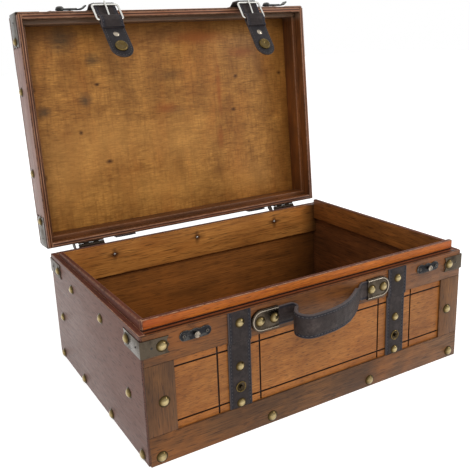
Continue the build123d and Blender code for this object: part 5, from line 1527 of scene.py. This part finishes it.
class CHEST_OT_stage(ChestPiece, bpy.types.Operator):
    """Floor, lights, white surroundings and the camera at the photograph's place"""
    bl_idname = "chest.stage"
    bl_label = "Stage and Camera"

    def execute(self, context):
        stage = context.scene.chest_stage
        self.floor(stage)
        self.lamp("key_light", KEY_PLACE, KEY_SIZE, stage.key, False)
        self.lamp("fill_light", FILL_PLACE, FILL_SIZE, stage.fill, True)
        self.surroundings(context.scene, stage)
        self.camera(context.scene)
        context.scene.view_settings.view_transform = "Standard"
        return {"FINISHED"}

    def floor(self, stage):
        """White floor that also glows white to the camera and in reflections."""
        mesh = blank()
        mesh.faces.new([mesh.verts.new((x, y, 0)) for x, y in ((-1, -1), (1, -1), (1, 1), (-1, 1))])
        made, tree, shader, place = material("floor_white", Roughness=0.7, Specular_IOR_Level=0.2)
        grain = spread(tree, noise(tree, place, 60.0), 0.3, 0.7)
        pale = tuple(c * 0.985 for c in stage.floor)
        rays = add(tree, "ShaderNodeLightPath").outputs
        seen = sums(tree, "MAXIMUM", rays["Is Camera Ray"], rays["Is Glossy Ray"])
        linked(tree, shader, {"Base Color": mixed(tree, grain, pale, tuple(stage.floor)),
                              "Emission Color": mixed(tree, seen, (0, 0, 0), FLOOR_GLOW)})
        shader["Emission Strength"].default_value = 1.0
        ground = piece("studio_floor", [moved(mesh, Matrix.Scale(FLOOR_REACH, 4))], None, made)

    def lamp(self, name, place, size, power, shine):
        """Round lamp aimed at the chest, seen in its gloss or not."""
        data = bpy.data.lights.new(name, "AREA")
        data.energy, data.size, data.shape = power, size, "DISK"
        lamp = bpy.data.objects.new(name, data)
        lamp.location, lamp.visible_glossy = place, shine
        lamp.rotation_euler = (LAMP_AIM - Vector(place)).to_track_quat("-Z", "Y").to_euler()
        bpy.context.scene.collection.objects.link(lamp)

    def surroundings(self, scene, stage):
        """Even light from all around, and white for the camera and in reflections."""
        world = bpy.data.worlds.new("Studio")
        world.use_nodes = True
        tree = world.node_tree
        rays = add(tree, "ShaderNodeLightPath").outputs
        seen = sums(tree, "MAXIMUM", rays["Is Glossy Ray"], rays["Is Transmission Ray"])
        seen = sums(tree, "MAXIMUM", rays["Is Camera Ray"], seen)
        back = tree.nodes["Background"].inputs
        back["Color"].default_value = (1, 1, 1, 1)
        tree.links.new(spread(tree, seen, 0.0, 1.0, stage.sky, 1.0), back["Strength"])
        scene.world = world

    def camera(self, scene):
        """Camera fitted to the photograph, rolled about its own line of sight."""
        data = bpy.data.cameras.new("photograph")
        data.sensor_width, data.lens = 36.0, LENS
        data.shift_x, data.shift_y = SHIFT
        camera = bpy.data.objects.new("photograph_camera", data)
        right, back = Vector(CAMERA_RIGHT), Vector(CAMERA_BACK)
        up = back.cross(right)
        roll = radians(CAMERA_ROLL)
        axes = (right * cos(roll) + up * sin(roll), up * cos(roll) - right * sin(roll), back)
        camera.matrix_world = Matrix.Translation(CAMERA_PLACE) @ Matrix(axes).transposed().to_4x4()
        scene.collection.objects.link(camera)
        scene.camera = camera


PIECES = (CHEST_OT_base_boards, CHEST_OT_lid_boards, CHEST_OT_brackets, CHEST_OT_nails, CHEST_OT_straps,
          CHEST_OT_flaps, CHEST_OT_catches, CHEST_OT_handle, CHEST_OT_hinges, CHEST_OT_stage)
SETTINGS = {"chest_woods": ChestWoods, "chest_leathers": ChestLeathers, "chest_metals": ChestMetals,
            "chest_stage": ChestStage}


class CHEST_PT_panel(bpy.types.Panel):
    """Buttons and settings of the chest"""
    bl_idname = "CHEST_PT_panel"
    bl_label = "Suitcase Chest"
    bl_space_type = "VIEW_3D"
    bl_region_type = "UI"
    bl_category = "Chest"

    def draw(self, context):
        for kind in PIECES:
            self.layout.operator(kind.bl_idname)
        for name, kind in SETTINGS.items():
            box = self.layout.box()
            box.label(text=name.replace("_", " ").title())
            for key in kind.__annotations__:
                box.prop(getattr(context.scene, name), key)


def register():
    for kind in (*SETTINGS.values(), *PIECES, CHEST_PT_panel):
        bpy.utils.register_class(kind)
    for name, kind in SETTINGS.items():
        setattr(bpy.types.Scene, name, bpy.props.PointerProperty(type=kind))


def unregister():
    for name in SETTINGS:
        delattr(bpy.types.Scene, name)
    for kind in (CHEST_PT_panel, *PIECES[::-1], *list(SETTINGS.values())[::-1]):
        bpy.utils.unregister_class(kind)


def main():
    """Dress the frame by registering the classes and running every operator."""
    register()
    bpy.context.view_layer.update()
    for kind in PIECES:
        family, step = kind.bl_idname.split(".")
        if getattr(getattr(bpy.ops, family), step)() != {"FINISHED"}:
            raise RuntimeError(f"{kind.bl_label} did not finish")


if __name__ == "__main__":
    main()
